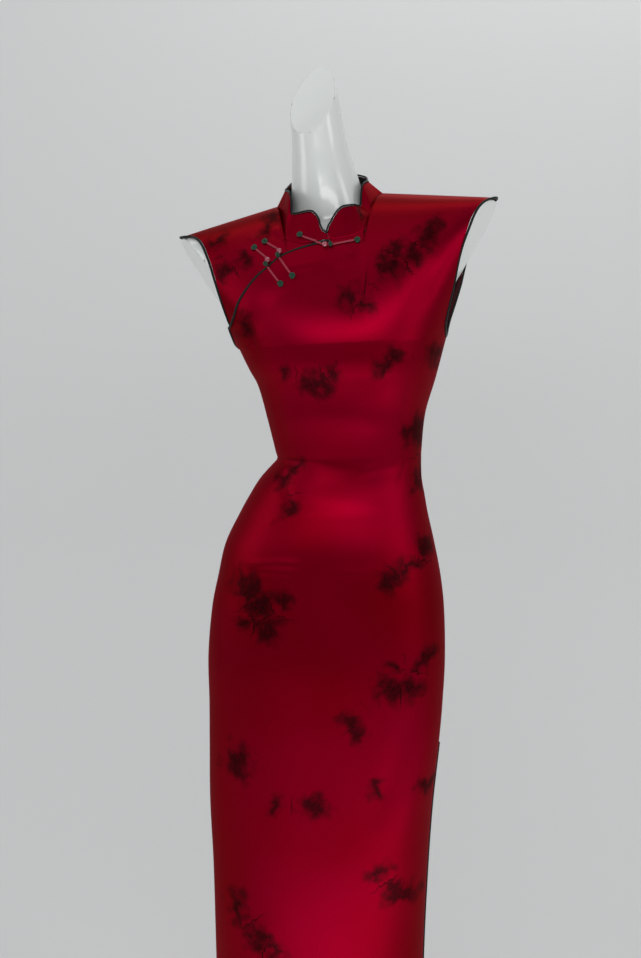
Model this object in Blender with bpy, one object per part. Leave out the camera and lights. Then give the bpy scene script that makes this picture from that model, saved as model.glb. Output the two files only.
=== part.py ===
# A long sleeveless satin dress with a stand collar and knotted fastenings, on a display form with a pole stand.
import math

import bmesh
import bpy
from mathutils import Matrix, Vector
from mathutils.bvhtree import BVHTree

NAME = "cheongsam_on_form"

WALL = 0.0015  # cloth
SEAM = 0.0003  # free space between neighbouring pieces
HEM_HEIGHT = 0.170
SLIT_HEIGHT = 0.620
SLIT_GAP = 0.0002  # between the two edge cords of a slit
ARMPIT_HEIGHT = 1.160
SHOULDER_PEAK = 1.366  # where the two shoulder lines would meet
SHOULDER_SLOPE = 0.171
SHOULDER_HALF = 0.2135
CHEST_TOP_HALF = 0.243  # the width that the chest's curve would reach at the shoulders
ARMPIT_HALF = 0.140
CHEST_SQUARE = 2.5
CHEST_FRONT = 0.120
CHEST_BACK = 0.094
FRONT_ROUND = 1.65
BACK_ROUND = 2.1
SHOULDER_ROUND = 0.8  # added to those two at the shoulder's tip
CHEST_RISE = 0.190  # from the armpit line to the shoulders, about
NECK_HALF = 0.0725
NECK_FRONT = 0.080
NECK_BACK = 0.060
NECK_FRONT_SQUARE = 3.4
NECK_BACK_SQUARE = 2.3
NECK_MIDDLE = 0.0105  # the neck stands this far to the wearer's left of the pole
SWAY_RISE = 0.17  # height above the armpits over which the chest comes back to that middle
TIP_SHIFT = 0.011  # both shoulder tips stand this much further to the wearer's left
NOTCH_SIDE = 0.0100  # the collar opens this far to the wearer's left of the middle
NOTCH_LAP = (0.0058, -0.0024, 0.0024)  # the collar's right end passes over the lap by this much
PIPING_RADIUS = 0.0016
COLLAR_PIPING_RADIUS = 0.0012
PIPING_SIDES = 1  # bevel resolution, six sides
OVERLAP = 0.012  # how far the front laps over the yoke
LAP_LIFT = 0.0024
LAP_FADE = 0.040  # how far down the front that lift dies away
LAP_SIDE_FADE = 0.045  # how far sideways, past the notch
LAP_MARGIN = 0.002

# Each row is height, left edge, right edge, front depth, back depth, squareness
SECTIONS = (
    (HEM_HEIGHT, -0.147, 0.147, 0.098, 0.098, 2.40),
    (0.290, -0.150, 0.147, 0.099, 0.099, 2.40),
    (0.425, -0.153, 0.152, 0.100, 0.100, 2.40),
    (0.520, -0.157, 0.158, 0.101, 0.103, 2.40),
    (0.610, -0.157, 0.167, 0.102, 0.106, 2.35),
    (0.660, -0.157, 0.171, 0.103, 0.111, 2.30),
    (0.727, -0.158, 0.174, 0.104, 0.116, 2.25),
    (0.796, -0.152, 0.172, 0.102, 0.121, 2.20),
    (0.840, -0.143, 0.167, 0.101, 0.118, 2.20),
    (0.886, -0.132, 0.158, 0.099, 0.101, 2.20),
    (0.931, -0.110, 0.148, 0.092, 0.088, 2.15),
    (0.954, -0.097, 0.144, 0.087, 0.080, 2.15),
    (0.976, -0.083, 0.140, 0.084, 0.073, 2.10),
    (0.995, -0.066, 0.139, 0.082, 0.069, 2.10),
    (1.003, -0.059, 0.139, 0.082, 0.068, 2.10),
    (1.012, -0.061, 0.139, 0.083, 0.068, 2.10),
    (1.064, -0.073, 0.144, 0.094, 0.079, 2.20),
    (1.108, -0.084, 0.157, 0.110, 0.087, 2.35),
    (1.130, -0.095, 0.163, 0.117, 0.092, 2.45),
    (1.160, -0.109, 0.171, CHEST_FRONT, CHEST_BACK, CHEST_SQUARE),
)
# Each row is height, tilt in degrees with the wearer's left side up
LEANS = ((0.0, 0.0), (1.003, 0.0), (1.165, 3.0), (1.330, 6.3), (1.60, 6.3))
# Each row is the share of the way from armpit to shoulder, half-width of the front, half-width of the back, and how
# far both armholes stand to the wearer's left
ARMHOLE = (
    (0.00, ARMPIT_HALF, ARMPIT_HALF, 0.0),
    (0.10, 0.1405, 0.1420, 0.0015),
    (0.36, 0.1520, 0.1555, 0.0050),
    (0.55, 0.1600, 0.1635, 0.0064),
    (0.72, 0.1690, 0.1720, 0.0076),
    (0.88, 0.1812, 0.1842, 0.0070),
    (0.96, 0.1950, 0.1980, 0.0045),
    (1.00, SHOULDER_HALF, SHOULDER_HALF, 0.0),
)
# Each row is a place on the placket's edge: sideways, height
PLACKET = (
    (-0.1460, 1.186),
    (-0.1340, 1.194),
    (-0.1265, 1.205),
    (-0.1185, 1.221),
    (-0.1035, 1.240),
    (-0.0905, 1.253),
    (-0.0780, 1.262),
    (-0.0580, 1.276),
    (-0.0320, 1.284),
    (NOTCH_SIDE, 1.290),
)
# Column angles across a panel, in degrees
NECK_CORNER = 19.85  # the column where the neckline meets the shoulder seam
NOTCH_COLUMN = 3.8
LEFT_COLUMNS = (90.0, 80.3, 70.5, 61.0, 52.0, 43.0, 34.0, 26.0, NECK_CORNER, 17.7, 14.6, 11.0, 7.0, 3.4, 0.0)
RIGHT_COLUMNS = (NOTCH_COLUMN, 7.4, 11.0, 14.6, 17.7, NECK_CORNER, 26.0, 34.0, 43.0, 52.0, 61.0, 70.5, 80.3, 90.0)
LOW_ROWS = (
    HEM_HEIGHT, 0.290, 0.410, 0.520, 0.600, SLIT_HEIGHT, 0.670, 0.720, 0.770, 0.820, 0.860, 0.895,
    0.930, 0.955, 0.980, 1.003, 1.022, 1.050, 1.080, 1.106, 1.132, ARMPIT_HEIGHT,
)
HIGH_ROWS = (0.05, 0.13, 0.24, 0.37, 0.50, 0.62, 0.74, 0.84, 0.92, 0.97, 0.992, 1.0)
YOKE_ROWS = (0.0, 0.08, 0.20, 0.35, 0.50, 0.65, 0.795, 0.897, 0.962, 0.99, 1.0)
# Each row is height, clear space at the form's sides, clear space at its front and back
FORM_GAPS = (
    (0.600, 0.0120, 0.0120),
    (0.670, 0.0050, 0.0050),
    (0.720, 0.0006, 0.0006),
    (0.820, 0.0006, 0.0006),
    (0.895, 0.0030, 0.0030),
    (1.003, 0.0050, 0.0060),
    (1.106, 0.0060, 0.0030),
    (1.132, 0.0090, 0.0007),
    (1.160, 0.0120, 0.0007),
)
FORM_ROWS = tuple(row for row in LOW_ROWS if row >= 0.600)
FORM_COLUMNS = (0.0, 9.0, NECK_CORNER, 26.0, 34.0, 43.0, 52.0, 61.0, 70.5, 80.3, 90.0)
CHEST_GAP = 0.0022  # above the bust, where the form's facets and the cloth's don't match
SHOULDER_GAP = 0.0006
CREST_START = 0.70  # share of the way up the chest from which the gap narrows to that
ARMPIT_LINE_GAP = 0.0007  # at the row where the chest starts
ARMPIT_LINE_END = 0.20  # share of the way up by which the bust's gap is reached
ARMPIT_GAP = 0.0120
ARMPIT_GAP_END = 0.50  # share of the way up by which the side gap is down to the next value
STUB_GAP = 0.0015
NECK_GAP = 0.0150  # more clear space under the collar
NECK_GAP_HALF = 0.076
NECK_GAP_FADE = 0.035
NECK_GAP_START = 0.40  # share of the way up where it begins
NECK_GAP_RISE = 0.30
# Each row is a hand, 1 for the wearer's left, and the ends of its shoulder's slanted cut: sideways, height
STUBS = ((-1, (0.2195, 1.334), (0.160, 1.222)), (1, (0.2165, 1.334), (0.135, 1.222)))
STUB_FACING = -0.04  # those cuts look this little to the front
NECK_CUT_PLACE = (-0.0085, -0.005, 1.4905)
NECK_CUT_FACING = (-0.38, -0.78, 0.52)
# Each row is height, middle sideways, middle back, half-width, half-depth
NECK_SECTIONS = (
    (1.290, 0.0150, 0.010, 0.0580, 0.0500),
    (1.345, 0.0110, 0.006, 0.0520, 0.0500),
    (1.386, 0.0054, 0.004, 0.0450, 0.0475),
    (1.415, 0.0010, 0.003, 0.0400, 0.0440),
    (1.447, -0.0034, 0.000, 0.0365, 0.0400),
    (1.490, -0.0080, -0.0040, 0.0338, 0.0365),
    (1.520, -0.0117, -0.0065, 0.0290, 0.0330),
    (1.560, -0.0162, -0.0100, 0.0240, 0.0290),
)
NECK_SIDES = 32
# Each row is degrees round from the notch, height of the collar's top edge, share of the way in to the top ring
COLLAR_EDGE = (
    (0.0, 1.3010, 0.15),
    (3.0, 1.3060, 0.30),
    (7.0, 1.3180, 0.55),
    (12.0, 1.3280, 0.80),
    (18.0, 1.3330, 0.95),
    (42.0, 1.3340, 1.00),
    (44.5, 1.3400, 1.00),
    (46.5, 1.3540, 1.00),
    (51.0, 1.3620, 1.00),
    (62.0, 1.3670, 1.00),
    (90.0, 1.3720, 1.00),
    (135.0, 1.3870, 1.00),
    (180.0, 1.3960, 1.00),
)
# Each row is angle from the front in degrees, how far in towards the neck the top edge lies, as a share
COLLAR_LEAN = ((0.0, 0.170), (45.0, 0.180), (90.0, 0.205), (135.0, 0.130), (180.0, 0.075))
COLLAR_SHIFT = -0.0035  # the top edge leans to the wearer's right
COLLAR_SPREAD = 0.16  # the step on the wearer's left lies this much further round than on the right, as a share
SPREAD_START = 50.0  # degrees round from which that dies away to the back
COLLAR_ROWS = (0.0, 0.35, 0.7, 1.0)
POLE_RADIUS = 0.0125
POLE_TOP = 0.5995
BASE_RADIUS = 0.180
BASE_HEIGHT = 0.008
BASE_EDGE = 0.002
FLANGE_RADIUS = 0.035
FLANGE_TOP_RADIUS = 0.020
FLANGE_HEIGHT = 0.018
CORD_RADIUS = 0.0013
CORD_STEPS = 8
COIL_RADIUS = 0.0048
COIL_HEIGHT = 0.0030
KNOT_RADIUS = 0.0033
BEAD_RADIUS = 0.0037
REST = 0.0003  # the fastenings sit this far off the cloth
PIPING_STEP = 0.003  # edge cords turn no more often than this
COLLAR_PIPING_STEP = 0.0025
# Each row is a fastening's name and the places of its first coil, bead, knot and last coil: sideways, height
FROGS = (
    ("collar_frog", (-0.0310, 1.3035), (0.0015, 1.2860), (0.0095, 1.2858), (0.0430, 1.2892)),
    ("chest_frog_upper", (-0.0800, 1.3010), (-0.0580, 1.2860), (-0.0610, 1.2785), (-0.0433, 1.2505)),
    ("chest_frog_lower", (-0.0950, 1.2945), (-0.0745, 1.2755), (-0.0775, 1.2675), (-0.0599, 1.2415)),
)

PAINT = {
    "satin_red": ((0.300, 0.006, 0.030), 0.38, 0.0),
    "piping_dark": ((0.013, 0.019, 0.016), 0.55, 0.0),
    "cord_pink": ((0.470, 0.080, 0.110), 0.50, 0.0),
    "knot_green": ((0.020, 0.085, 0.055), 0.50, 0.0),
    "bead_red": ((0.450, 0.020, 0.060), 0.15, 0.0),
    "form_white": ((0.780, 0.820, 0.800), 0.18, 0.0),
    "steel": ((0.550, 0.550, 0.560), 0.30, 1.0),
    "base_white": ((0.700, 0.710, 0.700), 0.35, 0.0),
}


def clear_scene():
    for old in list(bpy.data.objects):
        bpy.data.objects.remove(old)


def read_table(table, height, column):
    """A value of a table at a height, on a smooth curve through its rows."""
    if height <= table[0][0]:
        return table[0][column]
    if height >= table[-1][0]:
        return table[-1][column]
    k = 0
    while table[k + 1][0] < height:
        k += 1
    low, high = table[k], table[k + 1]
    span = high[0] - low[0]
    before = table[max(k - 1, 0)]
    after = table[min(k + 2, len(table) - 1)]
    slope_low = (high[column] - before[column]) / (high[0] - before[0])
    slope_high = (after[column] - low[column]) / (after[0] - low[0])
    s = (height - low[0]) / span
    value = (2 * s**3 - 3 * s**2 + 1) * low[column]
    value += (s**3 - 2 * s**2 + s) * span * slope_low
    value += (3 * s**2 - 2 * s**3) * high[column]
    return value + (s**3 - s**2) * span * slope_high


def read_straight(table, place, column):
    """A value of a table on straight lines through its rows."""
    if place <= table[0][0]:
        return table[0][column]
    for low, high in zip(table, table[1:]):
        if place <= high[0]:
            s = (place - low[0]) / (high[0] - low[0])
            return low[column] + s * (high[column] - low[column])
    return table[-1][column]


def blend(s):
    s = min(max(s, 0.0), 1.0)
    return s * s * (3 - 2 * s)


def rounded(side, square):
    return max(0.0, 1 - min(abs(side), 1.0) ** square) ** (1 / square)


def half_at(height):
    return (read_table(SECTIONS, height, 2) - read_table(SECTIONS, height, 1)) / 2


def middle_at(height):
    return (read_table(SECTIONS, height, 2) + read_table(SECTIONS, height, 1)) / 2


def shoulder_height(side):
    return SHOULDER_PEAK - SHOULDER_SLOPE * abs(side)


def chest_half(share):
    return ARMPIT_HALF + (CHEST_TOP_HALF - ARMPIT_HALF) * max(share, 0.0) ** 1.2


def chest_fall(side, share, face):
    power = FRONT_ROUND if face < 0 else BACK_ROUND
    power += SHOULDER_ROUND * min(abs(side) / SHOULDER_HALF, 1.0) ** 2
    return (1 - min(max(share, 0.0), 1.0) ** power) ** (1 / power)


def pose(side, depth, height):
    """A place of the upright figure moved to where the swaying figure has it."""
    if height <= ARMPIT_HEIGHT:
        shift = middle_at(height)
    else:
        at_arm = middle_at(ARMPIT_HEIGHT)
        at_top = NECK_MIDDLE + TIP_SHIFT * min(abs(side) / SHOULDER_HALF, 1.0) ** 1.5
        shift = at_arm + (at_top - at_arm) * min((height - ARMPIT_HEIGHT) / SWAY_RISE, 1.0)
    lean = math.radians(read_straight(LEANS, height, 1))
    return Vector((side + shift, depth, height + side * math.tan(lean)))


def low_point(angle, height, face, inset_side=0.0, inset_depth=0.0):
    """A place on the body below the armpits; face is -1 for the front and 1 for the back."""
    side = math.sin(math.radians(angle))
    half = half_at(height) - inset_side
    depth = read_table(SECTIONS, height, 3 if face < 0 else 4) - inset_depth
    square = read_table(SECTIONS, height, 5)
    return pose(half * side, face * depth * rounded(side, square), height)


def high_point(side, share, face, inset_side=0.0, inset_depth=0.0):
    """A place on the chest or the upper back, a share of the way from the armpit to the shoulder."""
    depth = (CHEST_FRONT if face < 0 else CHEST_BACK) - inset_depth
    half = chest_half(share) - inset_side
    out = face * depth * rounded(side / half, CHEST_SQUARE) * chest_fall(side, share, face)
    top = shoulder_height(side) - inset_depth
    return pose(side, out, ARMPIT_HEIGHT + (top - ARMPIT_HEIGHT) * share)


def column_side(place, share, face):
    """How far to the side a column lies; its place is -1 at one armhole and 1 at the other."""
    half = read_table(ARMHOLE, share, 1 if face < 0 else 2)
    return half * place + read_table(ARMHOLE, share, 3) * place * place


def neck_depth(side, face):
    if face < 0:
        return NECK_FRONT * rounded(side / NECK_HALF, NECK_FRONT_SQUARE)
    return NECK_BACK * rounded(side / NECK_HALF, NECK_BACK_SQUARE)


def search(inside):
    """The largest share of the way up for which a test still holds."""
    low, high = 0.0, 1.0
    if inside(high):
        return high
    for _ in range(40):
        middle = (low + high) / 2
        if inside(middle):
            low = middle
        else:
            high = middle
    return low


def top_share(angle, face):
    """Where a column meets the neckline or the shoulder seam."""
    if abs(angle) > NECK_CORNER - 0.01:
        return 1.0
    place = math.sin(math.radians(angle))

    def below_neck(share):
        side = column_side(place, share, face)
        if abs(side) >= NECK_HALF:
            return True
        depth = CHEST_FRONT if face < 0 else CHEST_BACK
        out = depth * rounded(side / chest_half(share), CHEST_SQUARE) * chest_fall(side, share, face)
        return out > neck_depth(side, face)

    return search(below_neck)


def placket_share(angle):
    """Where a column of the front meets the placket's edge."""
    place = math.sin(math.radians(angle))

    def below_edge(share):
        side = column_side(place, share, -1)
        height = ARMPIT_HEIGHT + (shoulder_height(side) - ARMPIT_HEIGHT) * share
        return height < read_table(PLACKET, side, 1)

    return min(search(below_edge), top_share(angle, -1))


def column_point(angle, share, face):
    side = column_side(math.sin(math.radians(angle)), share, face)
    return high_point(side, share, face)


def signed_columns():
    return tuple(-angle for angle in LEFT_COLUMNS) + RIGHT_COLUMNS


def sheet(places):
    """A grid of points as an open sheet whose quads are all cut along the same diagonal."""
    rows, columns = len(places), len(places[0])
    bm = bmesh.new()
    bmesh.ops.create_grid(bm, x_segments=columns - 1, y_segments=rows - 1, size=1.0)
    bm.verts.ensure_lookup_table()
    order = sorted(bm.verts, key=lambda v: (round(v.co.y, 5), round(v.co.x, 5)))
    for index, vert in enumerate(order):
        vert.co = places[index // columns][index % columns]
    bmesh.ops.triangulate(bm, faces=bm.faces[:], quad_method="FIXED")
    return bm


def face_out(bm, outward):
    """Turn a sheet's faces to look the way the test says."""
    bm.normal_update()
    total = sum(outward(face.calc_center_median()).dot(face.normal) * face.calc_area() for face in bm.faces)
    if total < 0:
        bmesh.ops.reverse_faces(bm, faces=bm.faces[:])
    bm.normal_update()


def away_from_axis(place):
    return Vector((place.x, place.y, 0.0))


def thicken(bm, wall):
    """Give an open sheet a wall on its inner side."""
    bmesh.ops.solidify(bm, geom=bm.faces[:], thickness=wall)
    bmesh.ops.recalc_face_normals(bm, faces=bm.faces[:])


def finish(name, bm, paint, home):
    mesh = bpy.data.meshes.new(name)
    bm.to_mesh(mesh)
    bm.free()
    made = bpy.data.objects.new(name, mesh)
    home.objects.link(made)
    colour, roughness, metallic = PAINT[paint]
    material = bpy.data.materials.new(name + "_paint")
    material.use_nodes = True
    shader = material.node_tree.nodes["Principled BSDF"]
    shader.inputs["Base Color"].default_value = (*colour, 1.0)
    shader.inputs["Roughness"].default_value = roughness
    shader.inputs["Metallic"].default_value = metallic
    mesh.materials.append(material)
    return made


def keep_side(bm, face, gap):
    """Hold a panel on its own side of the plane that the side and shoulder seams lie in."""
    for vert in bm.verts:
        if vert.co.y * face < gap:
            vert.co.y = face * gap


def lap_lift(angle, share):
    """How far the front stands off the body where it laps over the yoke."""
    side = column_side(math.sin(math.radians(angle)), share, -1)
    edge = placket_share(angle) if side < NOTCH_SIDE else top_share(angle, -1)
    below = (edge - share) * (shoulder_height(side) - ARMPIT_HEIGHT)
    lift = LAP_LIFT * (1 - blend((below - OVERLAP - LAP_MARGIN) / LAP_FADE))
    return lift * (1 - blend((side - NOTCH_SIDE) / LAP_SIDE_FADE))


def lifted(angle, share, lift):
    """A place on the front, moved out square to the cloth."""
    place = column_point(angle, share, -1)
    across = column_point(min(angle + 0.5, 90.0), share, -1) - column_point(max(angle - 0.5, -90.0), share, -1)
    along = column_point(angle, min(share + 0.01, 0.999), -1) - column_point(angle, share - 0.01, -1)
    out = across.cross(along).normalized()
    if out.y > 0:
        out = -out
    return place + out * lift


def panel_places(face):
    """The outer points of the front or back panel, row by row from the hem."""
    places = []
    slit = 2 * PIPING_RADIUS + SEAM + SLIT_GAP
    for height in LOW_ROWS:
        row = [low_point(angle, height, face) for angle in signed_columns()]
        for end in (0, -1):
            if height < SLIT_HEIGHT:
                row[end].y = face * slit
        places.append(row)
    for share in HIGH_ROWS:
        row = []
        for angle in signed_columns():
            if face > 0:
                row.append(column_point(angle, share * top_share(angle, face), face))
                continue
            edge = placket_share(angle) if angle < NOTCH_COLUMN else top_share(angle, face)
            row.append(lifted(angle, share * edge, lap_lift(angle, share * edge)))
        places.append(row)
    return places


def yoke_columns():
    return tuple(-angle for angle in LEFT_COLUMNS)


def yoke_places():
    places = []
    for row in YOKE_ROWS:
        line = []
        for angle in yoke_columns():
            edge = placket_share(angle)
            start = edge - OVERLAP / CHEST_RISE
            line.append(column_point(angle, start + (top_share(angle, -1) - start) * row, -1))
        places.append(line)
    return places


def panel(name, places, face, home):
    bm = sheet(places)
    face_out(bm, away_from_axis)
    thicken(bm, WALL)
    keep_side(bm, face, SEAM / 2)
    return finish(name, bm, "satin_red", home)


def tube(name, points, radius, paint, home, closed=False, sides=PIPING_SIDES):
    """A round cord along a line of points."""
    curve = bpy.data.curves.new(name, "CURVE")
    curve.dimensions = "3D"
    curve.bevel_depth = radius
    curve.bevel_resolution = sides
    curve.use_fill_caps = not closed
    spline = curve.splines.new("POLY")
    spline.points.add(len(points) - 1)
    for point, place in zip(spline.points, points):
        point.co = (*place, 1.0)
    spline.use_cyclic_u = closed
    holder = bpy.data.objects.new(name + "_line", curve)
    bpy.context.scene.collection.objects.link(holder)
    bpy.context.view_layer.update()
    graph = bpy.context.evaluated_depsgraph_get()
    mesh = bpy.data.meshes.new_from_object(holder.evaluated_get(graph))
    bpy.data.objects.remove(holder)
    bm = bmesh.new()
    bm.from_mesh(mesh)
    bmesh.ops.remove_doubles(bm, verts=bm.verts[:], dist=0.00005)
    bmesh.ops.recalc_face_normals(bm, faces=bm.faces[:])
    return finish(name, bm, paint, home)


def beyond(edge, inner, step):
    """Points outside an edge line, each a step away from its neighbour inside the cloth."""
    line = []
    for k, place in enumerate(edge):
        along = edge[min(k + 1, len(edge) - 1)] - edge[max(k - 1, 0)]
        out = place - inner[k]
        out -= along.normalized() * out.dot(along.normalized())
        line.append(place + out.normalized() * step)
    return line


def thinned(points, least):
    """Leave out points that crowd their neighbour."""
    kept = [points[0]]
    for place in points[1:]:
        if (place - kept[-1]).length > least:
            kept.append(place)
    return kept


def armhole_line(front, back, step):
    """A closed line round an armhole from its front and back edges, each from the armpit up."""
    line = beyond(front[0], front[1], step)[1:-1]
    tip = (front[0][-1] + back[0][-1]) / 2
    away = tip - (front[1][-1] + back[1][-1]) / 2
    line.append(tip + away.normalized() * step)
    line += reversed(beyond(back[0], back[1], step)[1:-1])
    pit = (front[0][0] + back[0][0]) / 2
    line.append(pit + Vector((0.0, 0.0, step + SEAM)))
    return thinned(line, PIPING_STEP)


def collar_base(front, yoke, back):
    """The neckline's corner points from the notch round to the wearer's left, the back and the right."""
    columns = signed_columns()
    right = [k for k, angle in enumerate(columns) if NOTCH_COLUMN <= angle < NECK_CORNER + 0.01]
    around = [k for k, angle in enumerate(columns) if abs(angle) < NECK_CORNER + 0.01]
    left = [k for k, angle in enumerate(yoke_columns()) if -NECK_CORNER - 0.01 < angle]
    line = [front[-1][k] for k in right]
    line += [back[-1][k] for k in reversed(around)][1:-1]
    line += [yoke[-1][k] for k in left]
    line[-1] = line[-1] + Vector(NOTCH_LAP)
    return line


def collar_angle(place):
    """The way round the neck of a place, from the notch, in degrees to either side."""
    side = place.x - NECK_MIDDLE
    depth = NECK_FRONT if place.y < 0 else NECK_BACK
    return math.degrees(math.atan2(side / NECK_HALF, -place.y / depth))


def collar_places(base):
    """The collar's outer points, row by row from the neckline."""
    cuts = []
    for k, (here, there) in enumerate(zip(base, base[1:])):
        pieces = 3 if (there - here).length > 0.009 else 2
        cuts += [here.lerp(there, j / pieces) for j in range(pieces)]
    cuts.append(base[-1])
    start = math.degrees(math.asin(NOTCH_SIDE / NECK_HALF))
    bottom, top = [], []
    for place in cuts:
        angle = collar_angle(place)
        turn = abs((angle - start + 180) % 360 - 180)
        if place.x > NECK_MIDDLE:
            turn *= 1 - COLLAR_SPREAD * (1 - blend((turn - SPREAD_START) / (180 - SPREAD_START)))
        foot = place + Vector((0.0, 0.0, 3 * SEAM))
        inward = read_table(COLLAR_LEAN, abs(angle), 1) * read_straight(COLLAR_EDGE, turn, 2)
        edge = foot.copy()
        edge.x += (NECK_MIDDLE - foot.x) * inward + COLLAR_SHIFT
        edge.y -= foot.y * inward
        tilt = (foot.x - NECK_MIDDLE) * math.tan(math.radians(LEANS[-1][1]))
        edge.z = read_straight(COLLAR_EDGE, turn, 1) + tilt
        bottom.append(foot)
        top.append(edge)
    return [[low.lerp(high, row) for low, high in zip(bottom, top)] for row in COLLAR_ROWS]


def build_form(home, cutters):
    """The torso, its neck and its cut shoulders, as one body."""
    angles = tuple(-angle for angle in reversed(FORM_COLUMNS)) + FORM_COLUMNS[1:]
    halves = []
    for face in (-1, 1):
        places = []
        for height in FORM_ROWS:
            side = WALL + read_straight(FORM_GAPS, height, 1)
            depth = WALL + read_straight(FORM_GAPS, height, 2)
            places.append([low_point(angle, height, face, side, depth) for angle in angles])
        for share in HIGH_ROWS:
            crest = blend((share - CREST_START) / (1 - CREST_START))
            chest = blend(share / ARMPIT_LINE_END)
            gap = CHEST_GAP * (1 - crest) * chest + ARMPIT_LINE_GAP * (1 - chest) + SHOULDER_GAP * crest
            side_inset = WALL + STUB_GAP + (ARMPIT_GAP - STUB_GAP) * (1 - blend(share / ARMPIT_GAP_END))
            rise = blend((share - NECK_GAP_START) / NECK_GAP_RISE)
            half = chest_half(share) - side_inset
            row = []
            for angle in angles:
                side = half * math.sin(math.radians(angle))
                neck = NECK_GAP * (1 - blend((abs(side) - NECK_GAP_HALF) / NECK_GAP_FADE)) * rise
                row.append(high_point(side, share, face, side_inset, WALL + gap + neck))
            places.append(row)
        bm = sheet(places)
        face_out(bm, away_from_axis)
        halves.append(bm)
    whole, other = halves
    spare = bpy.data.meshes.new("spare")
    other.to_mesh(spare)
    other.free()
    whole.from_mesh(spare)
    bpy.data.meshes.remove(spare)
    bmesh.ops.remove_doubles(whole, verts=whole.verts[:], dist=0.00008)
    rim = [edge for edge in whole.edges if edge.is_boundary]
    bmesh.ops.holes_fill(whole, edges=rim, sides=0)
    for hand, high, low in STUBS:
        top = pose(hand * high[0], 0.0, high[1])
        bottom = pose(hand * low[0], 0.0, low[1])
        run = top - bottom
        facing = Vector((run.z, 0.0, -run.x)) * hand
        facing.y = STUB_FACING
        floor = pose(hand * ARMPIT_HALF, 0.0, ARMPIT_HEIGHT).z - 0.004
        arm = [f for f in whole.faces if all(v.co.z > floor and v.co.x * hand > 0.05 for v in f.verts)]
        upper = list({part for f in arm for part in (*f.verts, *f.edges)}) + arm
        bmesh.ops.bisect_plane(whole, geom=upper, plane_co=top, plane_no=facing.normalized(), clear_outer=True)
        rim = [edge for edge in whole.edges if edge.is_boundary]
        bmesh.ops.holes_fill(whole, edges=rim, sides=0)
    bmesh.ops.recalc_face_normals(whole, faces=whole.faces[:])
    form = finish("dress_form", whole, "form_white", home)

    neck = bmesh.new()
    rings = []
    for height, middle, back, half, depth in NECK_SECTIONS:
        ring = []
        for k in range(NECK_SIDES):
            turn = 2 * math.pi * k / NECK_SIDES
            ring.append(neck.verts.new((middle + half * math.cos(turn), back + depth * math.sin(turn), height)))
        rings.append([neck.edges.new((ring[k], ring[(k + 1) % NECK_SIDES])) for k in range(NECK_SIDES)])
    for low, high in zip(rings, rings[1:]):
        bmesh.ops.bridge_loops(neck, edges=low + high)
    everything = neck.verts[:] + neck.edges[:] + neck.faces[:]
    facing = Vector(NECK_CUT_FACING)
    bmesh.ops.bisect_plane(neck, geom=everything, plane_co=NECK_CUT_PLACE, plane_no=facing, clear_outer=True)
    rim = [edge for edge in neck.edges if edge.is_boundary]
    bmesh.ops.holes_fill(neck, edges=rim, sides=0)
    bmesh.ops.recalc_face_normals(neck, faces=neck.faces[:])
    tool = finish("neck_tool", neck, "form_white", cutters)
    tool.display_type = "WIRE"
    join = form.modifiers.new("neck", "BOOLEAN")
    join.operation = "UNION"
    join.solver = "EXACT"
    join.object = tool
    return form


def build_stand(home):
    base = bmesh.new()
    lift = Matrix.Translation((0.0, 0.0, BASE_HEIGHT / 2))
    bmesh.ops.create_cone(
        base, cap_ends=True, segments=48, radius1=BASE_RADIUS, radius2=BASE_RADIUS,
        depth=BASE_HEIGHT, matrix=lift,
    )
    sharp = [edge for edge in base.edges if edge.calc_face_angle(0.0) > 1.0]
    rim = [edge for edge in sharp if min(v.co.z for v in edge.verts) > BASE_HEIGHT * 0.9]
    bmesh.ops.bevel(base, geom=rim, offset=BASE_EDGE, segments=2, profile=0.5, affect="EDGES", material=-1)
    finish("form_base", base, "base_white", home)

    flange = bmesh.new()
    bottom = BASE_HEIGHT + SEAM
    lift = Matrix.Translation((0.0, 0.0, bottom + FLANGE_HEIGHT / 2))
    bmesh.ops.create_cone(
        flange, cap_ends=True, segments=32, radius1=FLANGE_RADIUS, radius2=FLANGE_TOP_RADIUS,
        depth=FLANGE_HEIGHT, matrix=lift,
    )
    finish("form_flange", flange, "steel", home)

    pole = bmesh.new()
    low = bottom + FLANGE_HEIGHT + SEAM
    lift = Matrix.Translation((0.0, 0.0, (low + POLE_TOP) / 2))
    bmesh.ops.create_cone(
        pole, cap_ends=True, segments=24, radius1=POLE_RADIUS, radius2=POLE_RADIUS,
        depth=POLE_TOP - low, matrix=lift,
    )
    finish("form_pole", pole, "steel", home)


def surface_of(panels):
    """A lookup of the nearest place on the front pieces."""
    bm = bmesh.new()
    for made in panels:
        bm.from_mesh(made.data)
    tree = BVHTree.FromBMesh(bm)
    bm.free()
    return tree


def outward(side, height):
    """Which way is out at a place on the chest."""
    share = (height - ARMPIT_HEIGHT) / (shoulder_height(side) - ARMPIT_HEIGHT)
    across = high_point(side + 0.002, share, -1) - high_point(side - 0.002, share, -1)
    along = high_point(side, share + 0.01, -1) - high_point(side, share - 0.01, -1)
    return across.cross(along).normalized()


def on_cloth(tree, side, height, reach, off):
    """A place off the front pieces that clears all the cloth within reach, and which way is out there."""
    out = outward(side, height)
    place = pose(side, 0.0, height)
    highest, middle = None, None
    for turn in range(9):
        step = 0.0 if turn == 0 else reach
        bend = math.radians(45 * turn)
        start = Vector((place.x + step * math.cos(bend), -0.30, place.z + step * math.sin(bend)))
        hit = tree.ray_cast(start, Vector((0.0, 1.0, 0.0)), 0.28)[0]
        if hit is None:
            continue
        level = hit.dot(out)
        middle = middle or hit
        highest = level if highest is None else max(highest, level)
    return middle + out * (highest - middle.dot(out) + off), out


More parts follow.
